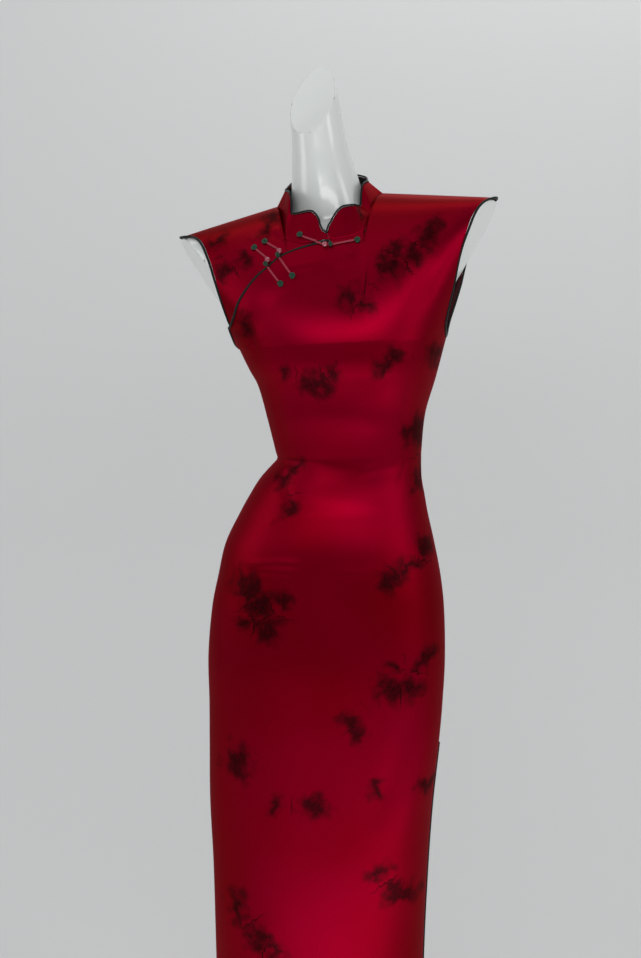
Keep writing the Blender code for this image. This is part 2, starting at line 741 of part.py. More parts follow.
def turned(name, profile_radius, half_height, place, out, paint, home, ball=False):
    """A small button or bead with its axis along the outward direction."""
    bm = bmesh.new()
    spin = out.to_track_quat("Z", "Y").to_matrix().to_4x4()
    where = Matrix.Translation(place) @ spin
    if ball:
        bmesh.ops.create_uvsphere(bm, u_segments=10, v_segments=7, radius=profile_radius, matrix=where)
    else:
        bmesh.ops.create_cone(
            bm, cap_ends=True, segments=14, radius1=profile_radius, radius2=profile_radius * 0.8,
            depth=2 * half_height, matrix=where,
        )
    return finish(name, bm, paint, home)


def build_frog(tree, name, first, bead, knot, last, home):
    """One fastening: a coil and cord on each side, with the bead and the knot between."""
    for label, place in (("coil_a", first), ("coil_b", last)):
        spot, out = on_cloth(tree, place[0], place[1], COIL_RADIUS, REST + COIL_HEIGHT / 2)
        turned(f"{name}_{label}", COIL_RADIUS, COIL_HEIGHT / 2, spot, out, "knot_green", home)
    spot, out = on_cloth(tree, knot[0], knot[1], KNOT_RADIUS * 0.6, REST + KNOT_RADIUS)
    turned(name + "_knot", KNOT_RADIUS, 0.0, spot, out, "knot_green", home, ball=True)
    knot_spot = spot
    spot, out = on_cloth(tree, bead[0], bead[1], BEAD_RADIUS * 0.6, REST + BEAD_RADIUS)
    away = spot - knot_spot
    spot = knot_spot + away.normalized() * (KNOT_RADIUS + BEAD_RADIUS + SEAM)
    turned(name + "_bead", BEAD_RADIUS, 0.0, spot, out, "bead_red", home, ball=True)
    for label, start, end in (("cord_a", first, bead), ("cord_b", last, knot)):
        run = Vector((end[0] - start[0], end[1] - start[1]))
        clear = COIL_RADIUS + CORD_RADIUS * 0.4
        stop = (BEAD_RADIUS if label == "cord_a" else KNOT_RADIUS) * 0.9 + CORD_RADIUS
        points = []
        for k in range(CORD_STEPS + 1):
            travel = clear + (run.length - clear - stop) * k / CORD_STEPS
            spot = run.normalized() * travel
            off = REST + CORD_RADIUS
            points.append(on_cloth(tree, start[0] + spot.x, start[1] + spot.y, CORD_RADIUS * 1.6, off)[0])
        tube(f"{name}_{label}", points, CORD_RADIUS, "cord_pink", home)


def build():
    clear_scene()
    home = bpy.data.collections.new(NAME)
    cutters = bpy.data.collections.new("cutters")
    cutters.hide_render = True
    for collection in (home, cutters):
        bpy.context.scene.collection.children.link(collection)

    build_stand(home)
    build_form(home, cutters)

    front = panel_places(-1)
    back = panel_places(1)
    yoke = yoke_places()
    front_made = panel("front_panel", front, -1, home)
    panel("back_panel", back, 1, home)
    yoke_made = panel("front_yoke", yoke, -1, home)

    base = collar_base(front, yoke, back)
    collar = collar_places(base)
    bm = sheet(collar)
    face_out(bm, away_from_axis)
    thicken(bm, WALL)
    collar_made = finish("collar", bm, "satin_red", home)
    step = COLLAR_PIPING_RADIUS + SEAM
    edge = beyond(collar[-1], collar[-2], step)
    tube("collar_piping", thinned(edge, COLLAR_PIPING_STEP), COLLAR_PIPING_RADIUS, "piping_dark", home)

    step = PIPING_RADIUS + SEAM
    arm = len(LOW_ROWS) - 1
    for label, end, inner in (("left", -1, -2), ("right", 0, 1)):
        fronts = [[row[end] for row in front[arm:]], [row[inner] for row in front[arm:]]]
        if end == 0:
            fronts[0] += [row[0] for row in yoke[2:]]
            fronts[1] += [row[1] for row in yoke[2:]]
        backs = [[row[end] for row in back[arm:]], [row[inner] for row in back[arm:]]]
        line = armhole_line(fronts, backs, step + 2 * SEAM)
        tube(f"armhole_piping_{label}", line, PIPING_RADIUS, "piping_dark", home, closed=True)

    last = signed_columns().index(NOTCH_COLUMN)
    edge = beyond(front[-1][: last + 1], front[-2][: last + 1], step)
    placket_made = tube("placket_piping", thinned(edge[1:-1], PIPING_STEP), PIPING_RADIUS, "piping_dark", home)

    slit_rows = [k for k, height in enumerate(LOW_ROWS) if height < SLIT_HEIGHT]
    for face, places, word in ((-1, front, "front"), (1, back, "back")):
        for label, end in (("left", -1), ("right", 0)):
            line = []
            for k in slit_rows:
                spot = places[k][end].copy()
                spot.y -= face * step
                line.append(spot)
            tube(f"slit_piping_{word}_{label}", line, PIPING_RADIUS, "piping_dark", home)

    tree = surface_of((front_made, yoke_made, collar_made, placket_made))
    for name, first, bead, knot, end in FROGS:
        build_frog(tree, name, first, bead, knot, end, home)


build()
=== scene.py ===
import math

import bmesh
import bpy
from mathutils import Matrix, Vector, noise
from mathutils.bvhtree import BVHTree


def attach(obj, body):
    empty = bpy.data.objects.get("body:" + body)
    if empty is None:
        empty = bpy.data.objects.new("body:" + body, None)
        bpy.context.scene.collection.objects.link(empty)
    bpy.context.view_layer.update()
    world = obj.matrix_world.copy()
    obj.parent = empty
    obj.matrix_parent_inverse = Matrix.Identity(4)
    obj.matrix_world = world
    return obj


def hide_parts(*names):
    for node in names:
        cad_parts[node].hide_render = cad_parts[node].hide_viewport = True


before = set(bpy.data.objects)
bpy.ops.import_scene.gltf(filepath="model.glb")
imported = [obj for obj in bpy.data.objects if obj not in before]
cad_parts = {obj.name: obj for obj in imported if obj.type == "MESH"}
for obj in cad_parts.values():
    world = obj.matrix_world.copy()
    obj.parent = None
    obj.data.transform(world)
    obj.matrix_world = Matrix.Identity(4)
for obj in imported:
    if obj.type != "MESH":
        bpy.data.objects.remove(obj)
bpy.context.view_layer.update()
print("frame loaded")

# where the photographer stood: a little to the wearer's left, at chest height, looking slightly down
shot = dict(lens=48.85, distance=1.80, azimuth=8.0, pitch=5.7, aim=(0.0, 0.0, 0.974))


def setCamera():
    around, down = math.radians(shot["azimuth"]), math.radians(shot["pitch"])
    away = Vector((math.cos(down) * math.sin(around), -math.cos(down) * math.cos(around), math.sin(down)))
    data = bpy.data.cameras.new("photoCamera")
    data.lens = shot["lens"]
    data.sensor_width = 36.0
    data.dof.use_dof = False
    eye = bpy.data.objects.new("photoCamera", data)
    eye.location = Vector(shot["aim"]) + away * shot["distance"]
    eye.rotation_euler = (-away).to_track_quat("-Z", "Y").to_euler()
    bpy.context.scene.collection.objects.link(eye)
    bpy.context.scene.camera = eye


setCamera()

# the figure: heights, left and right edges, front and back depths and squareness, in metres
figure = dict(
    sections=(
        (0.170, -0.147, 0.147, 0.098, 0.098, 2.40),
        (0.290, -0.150, 0.147, 0.099, 0.099, 2.40),
        (0.425, -0.153, 0.152, 0.100, 0.100, 2.40),
        (0.520, -0.157, 0.158, 0.101, 0.103, 2.40),
        (0.610, -0.157, 0.167, 0.102, 0.106, 2.35),
        (0.660, -0.157, 0.171, 0.103, 0.111, 2.30),
        (0.727, -0.158, 0.174, 0.104, 0.116, 2.25),
        (0.796, -0.152, 0.172, 0.102, 0.121, 2.20),
        (0.840, -0.143, 0.167, 0.101, 0.118, 2.20),
        (0.886, -0.132, 0.158, 0.099, 0.101, 2.20),
        (0.931, -0.110, 0.148, 0.092, 0.088, 2.15),
        (0.954, -0.097, 0.144, 0.087, 0.080, 2.15),
        (0.976, -0.083, 0.140, 0.084, 0.073, 2.10),
        (0.995, -0.066, 0.139, 0.082, 0.069, 2.10),
        (1.003, -0.059, 0.139, 0.082, 0.068, 2.10),
        (1.012, -0.061, 0.139, 0.083, 0.068, 2.10),
        (1.064, -0.073, 0.144, 0.094, 0.079, 2.20),
        (1.108, -0.084, 0.157, 0.110, 0.087, 2.35),
        (1.130, -0.095, 0.163, 0.117, 0.092, 2.45),
        (1.160, -0.109, 0.171, 0.120, 0.094, 2.50),
    ),
    leans=((0.0, 0.0), (1.003, 0.0), (1.165, 3.0), (1.330, 6.3), (1.60, 6.3)),
    # share of the way up, half-width in front and behind, and how far both sides stand to the wearer's left
    armhole=(
        (0.00, 0.1400, 0.1400, 0.0), (0.10, 0.1405, 0.1420, 0.0015), (0.36, 0.1520, 0.1555, 0.0050),
        (0.55, 0.1600, 0.1635, 0.0064), (0.72, 0.1690, 0.1720, 0.0076), (0.88, 0.1812, 0.1842, 0.0070),
        (0.96, 0.1950, 0.1980, 0.0045), (1.00, 0.2135, 0.2135, 0.0),
    ),
    placket=(
        (-0.1460, 1.186), (-0.1340, 1.194), (-0.1265, 1.205), (-0.1185, 1.221), (-0.1035, 1.240),
        (-0.0905, 1.253), (-0.0780, 1.262), (-0.0580, 1.276), (-0.0320, 1.284), (0.0100, 1.290),
    ),
    armpit=1.160, peak=1.366, slope=0.171, shoulderHalf=0.2135, armpitHalf=0.140, topHalf=0.243,
    square=2.5, front=0.120, back=0.094, frontRound=1.65, backRound=2.1, tipRound=0.8,
    neckHalf=0.0725, neckFront=0.080, neckBack=0.060, neckFrontSquare=3.4, neckBackSquare=2.3,
    neckMiddle=0.0105, notch=0.010, hem=0.170, slit=0.620, corner=19.85,
)
cloth = dict(
    wall=0.0012, lap=0.0024, lapMore=0.002, lapFade=0.040, lapSide=0.045, overlap=0.012, pull=0.0034, slitFade=0.01,
    hemDeep=0.030, hemGroove=0.0004, hemGrooveHalf=0.003, skirtSwell=0.0011, topSwell=0.0006, waist=0.95,
)


def readCurve(table, place, column):
    # a smooth curve through the rows of a table
    if place <= table[0][0]:
        return table[0][column]
    if place >= table[-1][0]:
        return table[-1][column]
    k = 0
    while table[k + 1][0] < place:
        k += 1
    low, high = table[k], table[k + 1]
    span = high[0] - low[0]
    before, after = table[max(k - 1, 0)], table[min(k + 2, len(table) - 1)]
    slopeLow = (high[column] - before[column]) / (high[0] - before[0])
    slopeHigh = (after[column] - low[column]) / (after[0] - low[0])
    s = (place - low[0]) / span
    value = (2 * s**3 - 3 * s**2 + 1) * low[column] + (s**3 - 2 * s**2 + s) * span * slopeLow
    return value + (3 * s**2 - 2 * s**3) * high[column] + (s**3 - s**2) * span * slopeHigh


def readLine(table, place, column):
    if place <= table[0][0]:
        return table[0][column]
    for low, high in zip(table, table[1:]):
        if place <= high[0]:
            s = (place - low[0]) / (high[0] - low[0])
            return low[column] + s * (high[column] - low[column])
    return table[-1][column]


def blend(s):
    s = min(max(s, 0.0), 1.0)
    return s * s * (3 - 2 * s)


def rounded(side, square):
    return max(0.0, 1 - min(abs(side), 1.0) ** square) ** (1 / square)


def shoulderHeight(side):
    return figure["peak"] - figure["slope"] * abs(side)


def chestHalf(share):
    return figure["armpitHalf"] + (figure["topHalf"] - figure["armpitHalf"]) * max(share, 0.0) ** 1.2


def chestFall(side, share, face):
    power = figure["frontRound"] if face < 0 else figure["backRound"]
    power += figure["tipRound"] * min(abs(side) / figure["shoulderHalf"], 1.0) ** 2
    return (1 - min(max(share, 0.0), 1.0) ** power) ** (1 / power)


def middleAt(height):
    return (readCurve(figure["sections"], height, 2) + readCurve(figure["sections"], height, 1)) / 2


def halfAt(height):
    return (readCurve(figure["sections"], height, 2) - readCurve(figure["sections"], height, 1)) / 2


def heightAt(side, share):
    return figure["armpit"] + (shoulderHeight(side) - figure["armpit"]) * share


def pose(side, depth, height):
    # from the upright figure to the swaying one
    if height <= figure["armpit"]:
        shift = middleAt(height)
    else:
        atArm = middleAt(figure["armpit"])
        atTop = figure["neckMiddle"] + 0.011 * min(abs(side) / figure["shoulderHalf"], 1.0) ** 1.5
        shift = atArm + (atTop - atArm) * min((height - figure["armpit"]) / 0.17, 1.0)
    lean = math.radians(readLine(figure["leans"], height, 1))
    return Vector((side + shift, depth, height + side * math.tan(lean)))


def lowPoint(place, height, face, insetSide=0.0, insetDepth=0.0):
    sections = figure["sections"]
    half = halfAt(height) - insetSide
    depth = readCurve(sections, height, 3 if face < 0 else 4) - insetDepth
    return pose(half * place, face * depth * rounded(place, readCurve(sections, height, 5)), height)


def highPoint(side, share, face, insetSide=0.0, insetDepth=0.0):
    depth = (figure["front"] if face < 0 else figure["back"]) - insetDepth
    round_ = rounded(side / (chestHalf(share) - insetSide), figure["square"])
    out = face * depth * round_ * chestFall(side, share, face)
    top = shoulderHeight(side) - insetDepth
    return pose(side, out, figure["armpit"] + (top - figure["armpit"]) * share)


def columnSide(place, share, face):
    half = readCurve(figure["armhole"], share, 1 if face < 0 else 2)
    return half * place + readCurve(figure["armhole"], share, 3) * place * place


def neckDepth(side, face):
    if face < 0:
        return figure["neckFront"] * rounded(side / figure["neckHalf"], figure["neckFrontSquare"])
    return figure["neckBack"] * rounded(side / figure["neckHalf"], figure["neckBackSquare"])


def search(inside):
    low, high = 0.0, 1.0
    if inside(high):
        return high
    for _ in range(30):
        middle = (low + high) / 2
        low, high = (middle, high) if inside(middle) else (low, middle)
    return low


def topShare(place, face):
    # where a column of the cloth meets the neckline or the shoulder seam
    if abs(place) >= math.sin(math.radians(figure["corner"])) - 1e-4:
        return 1.0

    def belowNeck(share):
        side = columnSide(place, share, face)
        if abs(side) >= figure["neckHalf"]:
            return True
        depth = figure["front"] if face < 0 else figure["back"]
        out = depth * rounded(side / chestHalf(share), figure["square"]) * chestFall(side, share, face)
        return out > neckDepth(side, face)

    return search(belowNeck)


def placketShare(place):
    def belowEdge(share):
        side = columnSide(place, share, -1)
        return heightAt(side, share) < readCurve(figure["placket"], side, 1)

    return min(search(belowEdge), topShare(place, -1))


def columnPoint(place, share, face):
    return highPoint(columnSide(place, share, face), share, face)


def lapLift(place, share, edge):
    # the front stands off the body where it laps over the yoke
    side = columnSide(place, share, -1)
    below = (edge - share) * (shoulderHeight(side) - figure["armpit"])
    lift = cloth["lap"] * (1 - blend((below - cloth["overlap"] - cloth["lapMore"]) / cloth["lapFade"]))
    return lift * (1 - blend((side - figure["notch"]) / cloth["lapSide"]))


# creases and seams in metres, each a line of (side, height) with its half-width and its height off the cloth; a
# trough is below 0
frontCreases = (
    (((-0.112, 1.112), (-0.060, 1.106), (0.000, 1.104), (0.086, 1.118)), 0.0220, -0.0034),
    (((-0.100, 1.056), (-0.040, 1.060), (0.030, 1.060), (0.092, 1.050)), 0.0180, 0.0028),
    (((-0.142, 1.178), (-0.110, 1.192), (-0.106, 1.164), (-0.100, 1.138)), 0.0060, -0.0016),
    (((-0.098, 1.135), (-0.086, 1.090), (-0.078, 1.046), (-0.076, 1.000)), 0.0045, -0.0007),
    (((0.092, 1.120), (0.086, 1.070), (0.082, 1.010), (0.088, 0.940)), 0.0040, -0.0005),
    (((-0.074, 1.000), (-0.066, 0.970), (-0.054, 0.955), (-0.046, 0.938)), 0.0075, -0.0022),
    (((-0.081, 0.919), (-0.068, 0.930), (-0.050, 0.938)), 0.0050, 0.0012),
    (((-0.112, 0.868), (-0.080, 0.868), (-0.046, 0.871), (-0.010, 0.868)), 0.0050, 0.0011),
    (((-0.098, 0.858), (-0.060, 0.859), (-0.020, 0.857)), 0.0045, -0.0008),
    (((0.014, 0.862), (0.050, 0.858), (0.085, 0.862)), 0.0060, 0.0005),
    (((0.172, 1.322), (0.160, 1.270), (0.140, 1.215), (0.120, 1.170)), 0.0130, 0.0016),
    (((0.150, 1.330), (0.138, 1.270), (0.118, 1.215), (0.098, 1.175)), 0.0110, -0.0010),
    (((0.020, 1.288), (0.028, 1.280), (0.040, 1.266)), 0.0045, 0.0014),
    (((0.006, 1.284), (0.012, 1.270), (0.024, 1.252)), 0.0050, -0.0009),
    (((-0.060, 1.262), (-0.030, 1.262), (0.000, 1.266)), 0.0075, 0.0010),
    (((0.142, 1.172), (0.128, 1.160), (0.110, 1.150)), 0.0070, -0.0010),
    (((-0.030, 1.240), (0.020, 1.214), (0.060, 1.196)), 0.0140, -0.0009),
    (((-0.100, 1.000), (-0.060, 1.004), (-0.010, 1.010)), 0.0065, -0.0008),
    (((0.020, 0.990), (0.060, 0.998), (0.096, 1.006)), 0.0075, -0.0008),
    (((0.160, 0.700), (0.152, 0.640), (0.140, 0.560), (0.118, 0.470)), 0.0170, 0.0018),
    (((0.130, 0.700), (0.120, 0.640), (0.100, 0.570), (0.080, 0.500)), 0.0160, -0.0014),
    (((-0.090, 0.360), (-0.076, 0.330), (-0.060, 0.290), (-0.052, 0.250)), 0.0090, -0.0020),
    (((-0.070, 0.385), (-0.055, 0.350), (-0.040, 0.300)), 0.0090, 0.0014),
    (((-0.130, 0.640), (-0.118, 0.540), (-0.112, 0.420), (-0.108, 0.300)), 0.0170, -0.0012),
)
backCreases = (
    (((0.060, 1.140), (0.062, 1.070), (0.060, 0.990), (0.066, 0.900)), 0.0045, -0.0008),
    (((-0.062, 1.140), (-0.060, 1.070), (-0.058, 0.990), (-0.068, 0.900)), 0.0045, -0.0008),
    (((-0.100, 0.975), (-0.050, 0.985), (0.010, 0.978), (0.060, 0.986)), 0.0090, -0.0016),
    (((-0.060, 1.012), (0.000, 1.006), (0.070, 1.014)), 0.0080, 0.0010),
    (((-0.080, 0.948), (-0.020, 0.952), (0.040, 0.946)), 0.0080, 0.0009),
    (((-0.150, 1.180), (-0.120, 1.205), (-0.090, 1.250)), 0.0110, -0.0011),
    (((0.150, 1.186), (0.125, 1.215), (0.100, 1.262)), 0.0120, -0.0013),
    (((-0.010, 0.740), (-0.004, 0.620), (0.006, 0.480), (0.010, 0.300)), 0.0200, 0.0018),
    (((-0.090, 0.720), (-0.096, 0.600), (-0.088, 0.450)), 0.0180, -0.0015),
    (((0.092, 0.700), (0.098, 0.560), (0.090, 0.400)), 0.0170, -0.0014),
    (((0.030, 1.290), (0.060, 1.262), (0.095, 1.240)), 0.0100, 0.0009),
)
yokeCreases = (
    (((-0.068, 1.322), (-0.060, 1.312), (-0.050, 1.306)), 0.0040, 0.0014),
    (((-0.074, 1.314), (-0.066, 1.306), (-0.056, 1.300)), 0.0040, -0.0014),
    (((-0.104, 1.312), (-0.080, 1.304), (-0.058, 1.296)), 0.0050, 0.0010),
    (((-0.150, 1.250), (-0.130, 1.268), (-0.110, 1.290)), 0.0080, -0.0009),
)

# the print: soft dark sprigs, each (side, height, radius, kind, turn); kind 0 is a flower and 1 a pair of leaves
frontSprigs = (
    (0.092, 1.274, 0.012, 0, 0.3), (0.084, 1.252, 0.017, 0, 1.1), (0.112, 1.262, 0.013, 1, 2.0),
    (0.133, 1.288, 0.017, 1, 0.8), (0.029, 1.218, 0.014, 0, 0.4), (0.048, 1.206, 0.013, 1, 2.2),
    (-0.115, 1.190, 0.015, 1, 1.5), (-0.005, 1.121, 0.012, 0, 0.0), (-0.026, 1.108, 0.017, 0, 0.9),
    (-0.068, 1.124, 0.010, 1, 1.8), (0.076, 1.141, 0.011, 0, 0.2), (0.060, 1.126, 0.014, 1, 0.7),
    (0.127, 1.138, 0.012, 1, 1.2), (0.100, 1.040, 0.017, 0, 0.5), (0.112, 0.985, 0.016, 1, 1.4),
    (-0.051, 0.944, 0.010, 0, 0.0), (-0.066, 0.986, 0.017, 1, 1.2), (-0.101, 0.834, 0.019, 0, 0.2),
    (-0.080, 0.810, 0.018, 0, 1.0), (-0.052, 0.822, 0.015, 1, 2.4), (-0.066, 0.783, 0.016, 0, 0.6),
    (-0.100, 0.786, 0.011, 1, 0.1), (0.112, 0.864, 0.016, 1, 0.7), (0.091, 0.848, 0.014, 0, 1.3),
    (0.134, 0.890, 0.013, 1, 2.0), (0.140, 0.741, 0.013, 1, 1.0), (0.100, 0.734, 0.010, 1, 2.3),
    (0.098, 0.705, 0.017, 0, 0.1), (0.124, 0.702, 0.015, 0, 0.8), (0.044, 0.661, 0.013, 0, 0.5),
    (0.057, 0.643, 0.012, 0, 1.2), (-0.107, 0.592, 0.021, 0, 0.3), (0.085, 0.569, 0.012, 1, 1.3),
    (0.004, 0.541, 0.016, 0, 0.7), (-0.049, 0.540, 0.012, 1, 0.9), (0.150, 0.561, 0.013, 1, 2.6),
    (0.092, 0.450, 0.016, 1, 0.4), (0.111, 0.420, 0.015, 0, 1.0), (0.129, 0.416, 0.013, 0, 0.2),
    (-0.103, 0.386, 0.020, 1, 1.6), (-0.072, 0.350, 0.018, 0, 0.5), (-0.050, 0.336, 0.014, 1, 2.1),
    (0.030, 0.300, 0.017, 0, 0.9), (0.048, 0.280, 0.013, 1, 0.3), (-0.010, 0.215, 0.014, 0, 0.1),
    (0.110, 0.255, 0.016, 1, 1.9), (-0.110, 0.235, 0.015, 0, 2.2),
)
yokeSprigs = (
    (-0.070, 1.334, 0.013, 0, 0.4), (-0.078, 1.318, 0.012, 1, 1.0), (-0.141, 1.266, 0.013, 0, 0.7),
    (-0.112, 1.280, 0.012, 1, 2.0), (-0.150, 1.310, 0.012, 1, 0.4),
)
backSprigs = (
    (0.085, 1.270, 0.018, 0, 0.4), (0.060, 1.250, 0.014, 1, 1.4), (-0.100, 1.230, 0.017, 0, 0.9),
    (-0.120, 1.210, 0.013, 1, 2.1), (-0.010, 1.180, 0.016, 0, 0.2), (0.012, 1.165, 0.012, 1, 0.8),
    (0.110, 1.110, 0.014, 1, 1.7), (-0.085, 1.075, 0.016, 0, 0.5), (0.040, 1.030, 0.015, 0, 1.1),
    (0.058, 1.015, 0.011, 1, 2.3), (-0.030, 0.940, 0.014, 1, 0.6), (0.100, 0.900, 0.018, 0, 0.1),
    (0.078, 0.880, 0.014, 1, 1.9), (-0.100, 0.850, 0.019, 0, 0.7), (-0.078, 0.830, 0.015, 0, 1.5),
    (0.010, 0.790, 0.016, 1, 0.3), (0.120, 0.730, 0.015, 0, 1.2), (-0.040, 0.690, 0.018, 0, 0.4),
    (-0.060, 0.670, 0.013, 1, 2.0), (0.070, 0.620, 0.017, 0, 0.9), (-0.120, 0.580, 0.016, 1, 1.1),
    (0.000, 0.520, 0.019, 0, 0.2), (0.024, 0.505, 0.013, 1, 1.8), (0.118, 0.470, 0.015, 0, 0.6),
    (-0.085, 0.420, 0.018, 0, 1.3), (-0.060, 0.405, 0.012, 1, 0.5), (0.050, 0.350, 0.017, 1, 2.2),
    (-0.020, 0.290, 0.016, 0, 0.8), (0.100, 0.250, 0.015, 0, 0.3), (-0.115, 0.240, 0.014, 1, 1.6),
)


def alongLine(points, side, height):
    # how far a place is from a line of points, and how far along the line it falls
    best, total, where = None, 0.0, 0.0
    for (ax, az), (bx, bz) in zip(points, points[1:]):
        dx, dz = bx - ax, bz - az
        length = math.hypot(dx, dz)
        s = min(max(((side - ax) * dx + (height - az) * dz) / length**2, 0.0), 1.0)
        gap = math.hypot(side - ax - s * dx, height - az - s * dz)
        if best is None or gap < best:
            best, where = gap, total + s * length
        total += length
    return best, where / total


def creaseOut(creases, side, height):
    out = 0.0
    for points, half, rise in creases:
        if abs(height - points[0][1]) > 0.45:
            continue
        gap, where = alongLine(points, side, height)
        if gap < 3 * half:
            fade = blend(where / 0.3) * blend((1 - where) / 0.35)
            out += rise * fade * math.exp(-((gap / half) ** 2))
    return out


def slowSwell(side, height, face):
    # the cloth never lies dead even: long shallow swells, a little stronger in the skirt
    spot = Vector((side * 9.0, face * 3.0, height * 3.2))
    return noise.noise(spot) * (cloth["skirtSwell"] if height < cloth["waist"] else cloth["topSwell"])


def sheetOf(columns, rows):
    bm = bmesh.new()
    bmesh.ops.create_grid(bm, x_segments=columns - 1, y_segments=rows - 1, size=1.0)
    order = sorted(bm.verts, key=lambda v: (round(v.co.y, 6), round(v.co.x, 6)))
    return bm, [order[k * columns:(k + 1) * columns] for k in range(rows)]


def markUv(bm, flat):
    # where each point lies on the cloth, across and up, in metres
    layer = bm.loops.layers.uv.new("cut")
    for face in bm.faces:
        for loop in face.loops:
            loop[layer].uv = flat[loop.vert.index]


def markPrint(bm, flat, sprigs):
    # each point keeps its place in the nearest sprig, and how strongly that sprig holds there
    place = bm.verts.layers.float_vector.new("sprigPlace")
    hold = bm.verts.layers.float.new("sprigHold")
    kind = bm.verts.layers.float.new("sprigKind")
    for vert in bm.verts:
        side, height = flat[vert.index]
        best, found = 3.0, None
        for sprig in sprigs:
            wide = sprig[2] * satin["sprigScale"]
            dx, dz = (side - sprig[0]) / wide, (height - sprig[1]) / wide
            if abs(dx) < best and abs(dz) < best and math.hypot(dx, dz) < best:
                best, found = math.hypot(dx, dz), (sprig, dx, dz)
        if found is None:
            vert[place] = Vector((3.0, 3.0, 0.0))
            continue
        sprig, dx, dz = found
        c, s = math.cos(sprig[4]), math.sin(sprig[4])
        vert[place] = Vector((dx * c + dz * s, dz * c - dx * s, sprig[4] * 7 + sprig[0] * 50))
        vert[hold] = 1 - blend((best - 1.1) / 1.2)
        vert[kind] = float(sprig[3])


def finishMesh(bm, name, material, smooth=True):
    mesh = bpy.data.meshes.new(name)
    bm.to_mesh(mesh)
    bm.free()
    for face in mesh.polygons:
        face.use_smooth = smooth
    made = bpy.data.objects.new(name, mesh)
    bpy.context.scene.collection.objects.link(made)
    mesh.materials.append(material)
    return made


def giveWall(made, inside):
    made.data.materials.append(inside)
    thick = made.modifiers.new("wall", "SOLIDIFY")
    thick.thickness = cloth["wall"]
    thick.offset = -1.0
    thick.material_offset = 1


def mount(made, node):
    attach(made, "root")
    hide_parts(node)


def pushOut(bm, flat, amount):
    # move each point square to the cloth
    bm.normal_update()
    moves = []
    for vert in bm.verts:
        side, height = flat[vert.index]
        moves.append((vert, vert.normal * amount(side, height, vert)))
    for vert, move in moves:
        vert.co += move


def toLinear(hexColour):
    parts = [int(hexColour[k:k + 2], 16) / 255 for k in (1, 3, 5)]
    return tuple(p / 12.92 if p <= 0.04045 else ((p + 0.055) / 1.055) ** 2.4 for p in parts) + (1.0,)


def addNode(tree, kind, settings=None, links=None):
    node = tree.nodes.new(kind)
    for key, value in (settings or {}).items():
        if isinstance(key, str) and hasattr(node, key):
            setattr(node, key, value)
        else:
            node.inputs[key].default_value = value
    for key, source in (links or {}).items():
        tree.links.new(source, node.inputs[key])
    return node


def newMaterial(name):
    # gives the shader, and the object's own coordinates to draw its pattern on
    material = bpy.data.materials.new(name)
    material.use_nodes = True
    tree = material.node_tree
    tree.nodes.clear()
    shader = addNode(tree, "ShaderNodeBsdfPrincipled")
    addNode(tree, "ShaderNodeOutputMaterial", links={"Surface": shader.outputs[0]})
    return material, tree, shader, addNode(tree, "ShaderNodeTexCoord").outputs["Object"]


def calc(tree, operation, *sources):
    # one step of arithmetic on numbers and sockets
    node = addNode(tree, "ShaderNodeMath", {"operation": operation})
    for k, source in enumerate(sources):
        if isinstance(source, float):
            node.inputs[k].default_value = source
        else:
            tree.links.new(source, node.inputs[k])
    return node.outputs[0]


def grainOf(tree, where, scale, detail):
    return addNode(tree, "ShaderNodeTexNoise", {"Scale": scale, "Detail": detail}, {"Vector": where}).outputs["Fac"]


def mixedOf(tree, share, first, second):
    settings = {"data_type": "RGBA", 6: toLinear(first), 7: toLinear(second)}
    return addNode(tree, "ShaderNodeMix", settings, {0: share}).outputs[2]


def raiseGrain(tree, shader, height, strength, deep):
    bump = addNode(tree, "ShaderNodeBump", {"Strength": strength, "Distance": deep}, {"Height": height})
    tree.links.new(bump.outputs[0], shader.inputs["Normal"])


def setSockets(shader, values):
    for name, value in values.items():
        shader.inputs[name].default_value = value


satin = dict(
    base="#980029", deep="#7C0006", print="#200A0C", edge="#C00048", threadMm=0.5, roughness=0.40, shine=0.85,
    spread=0.6, sprigScale=1.15,
)


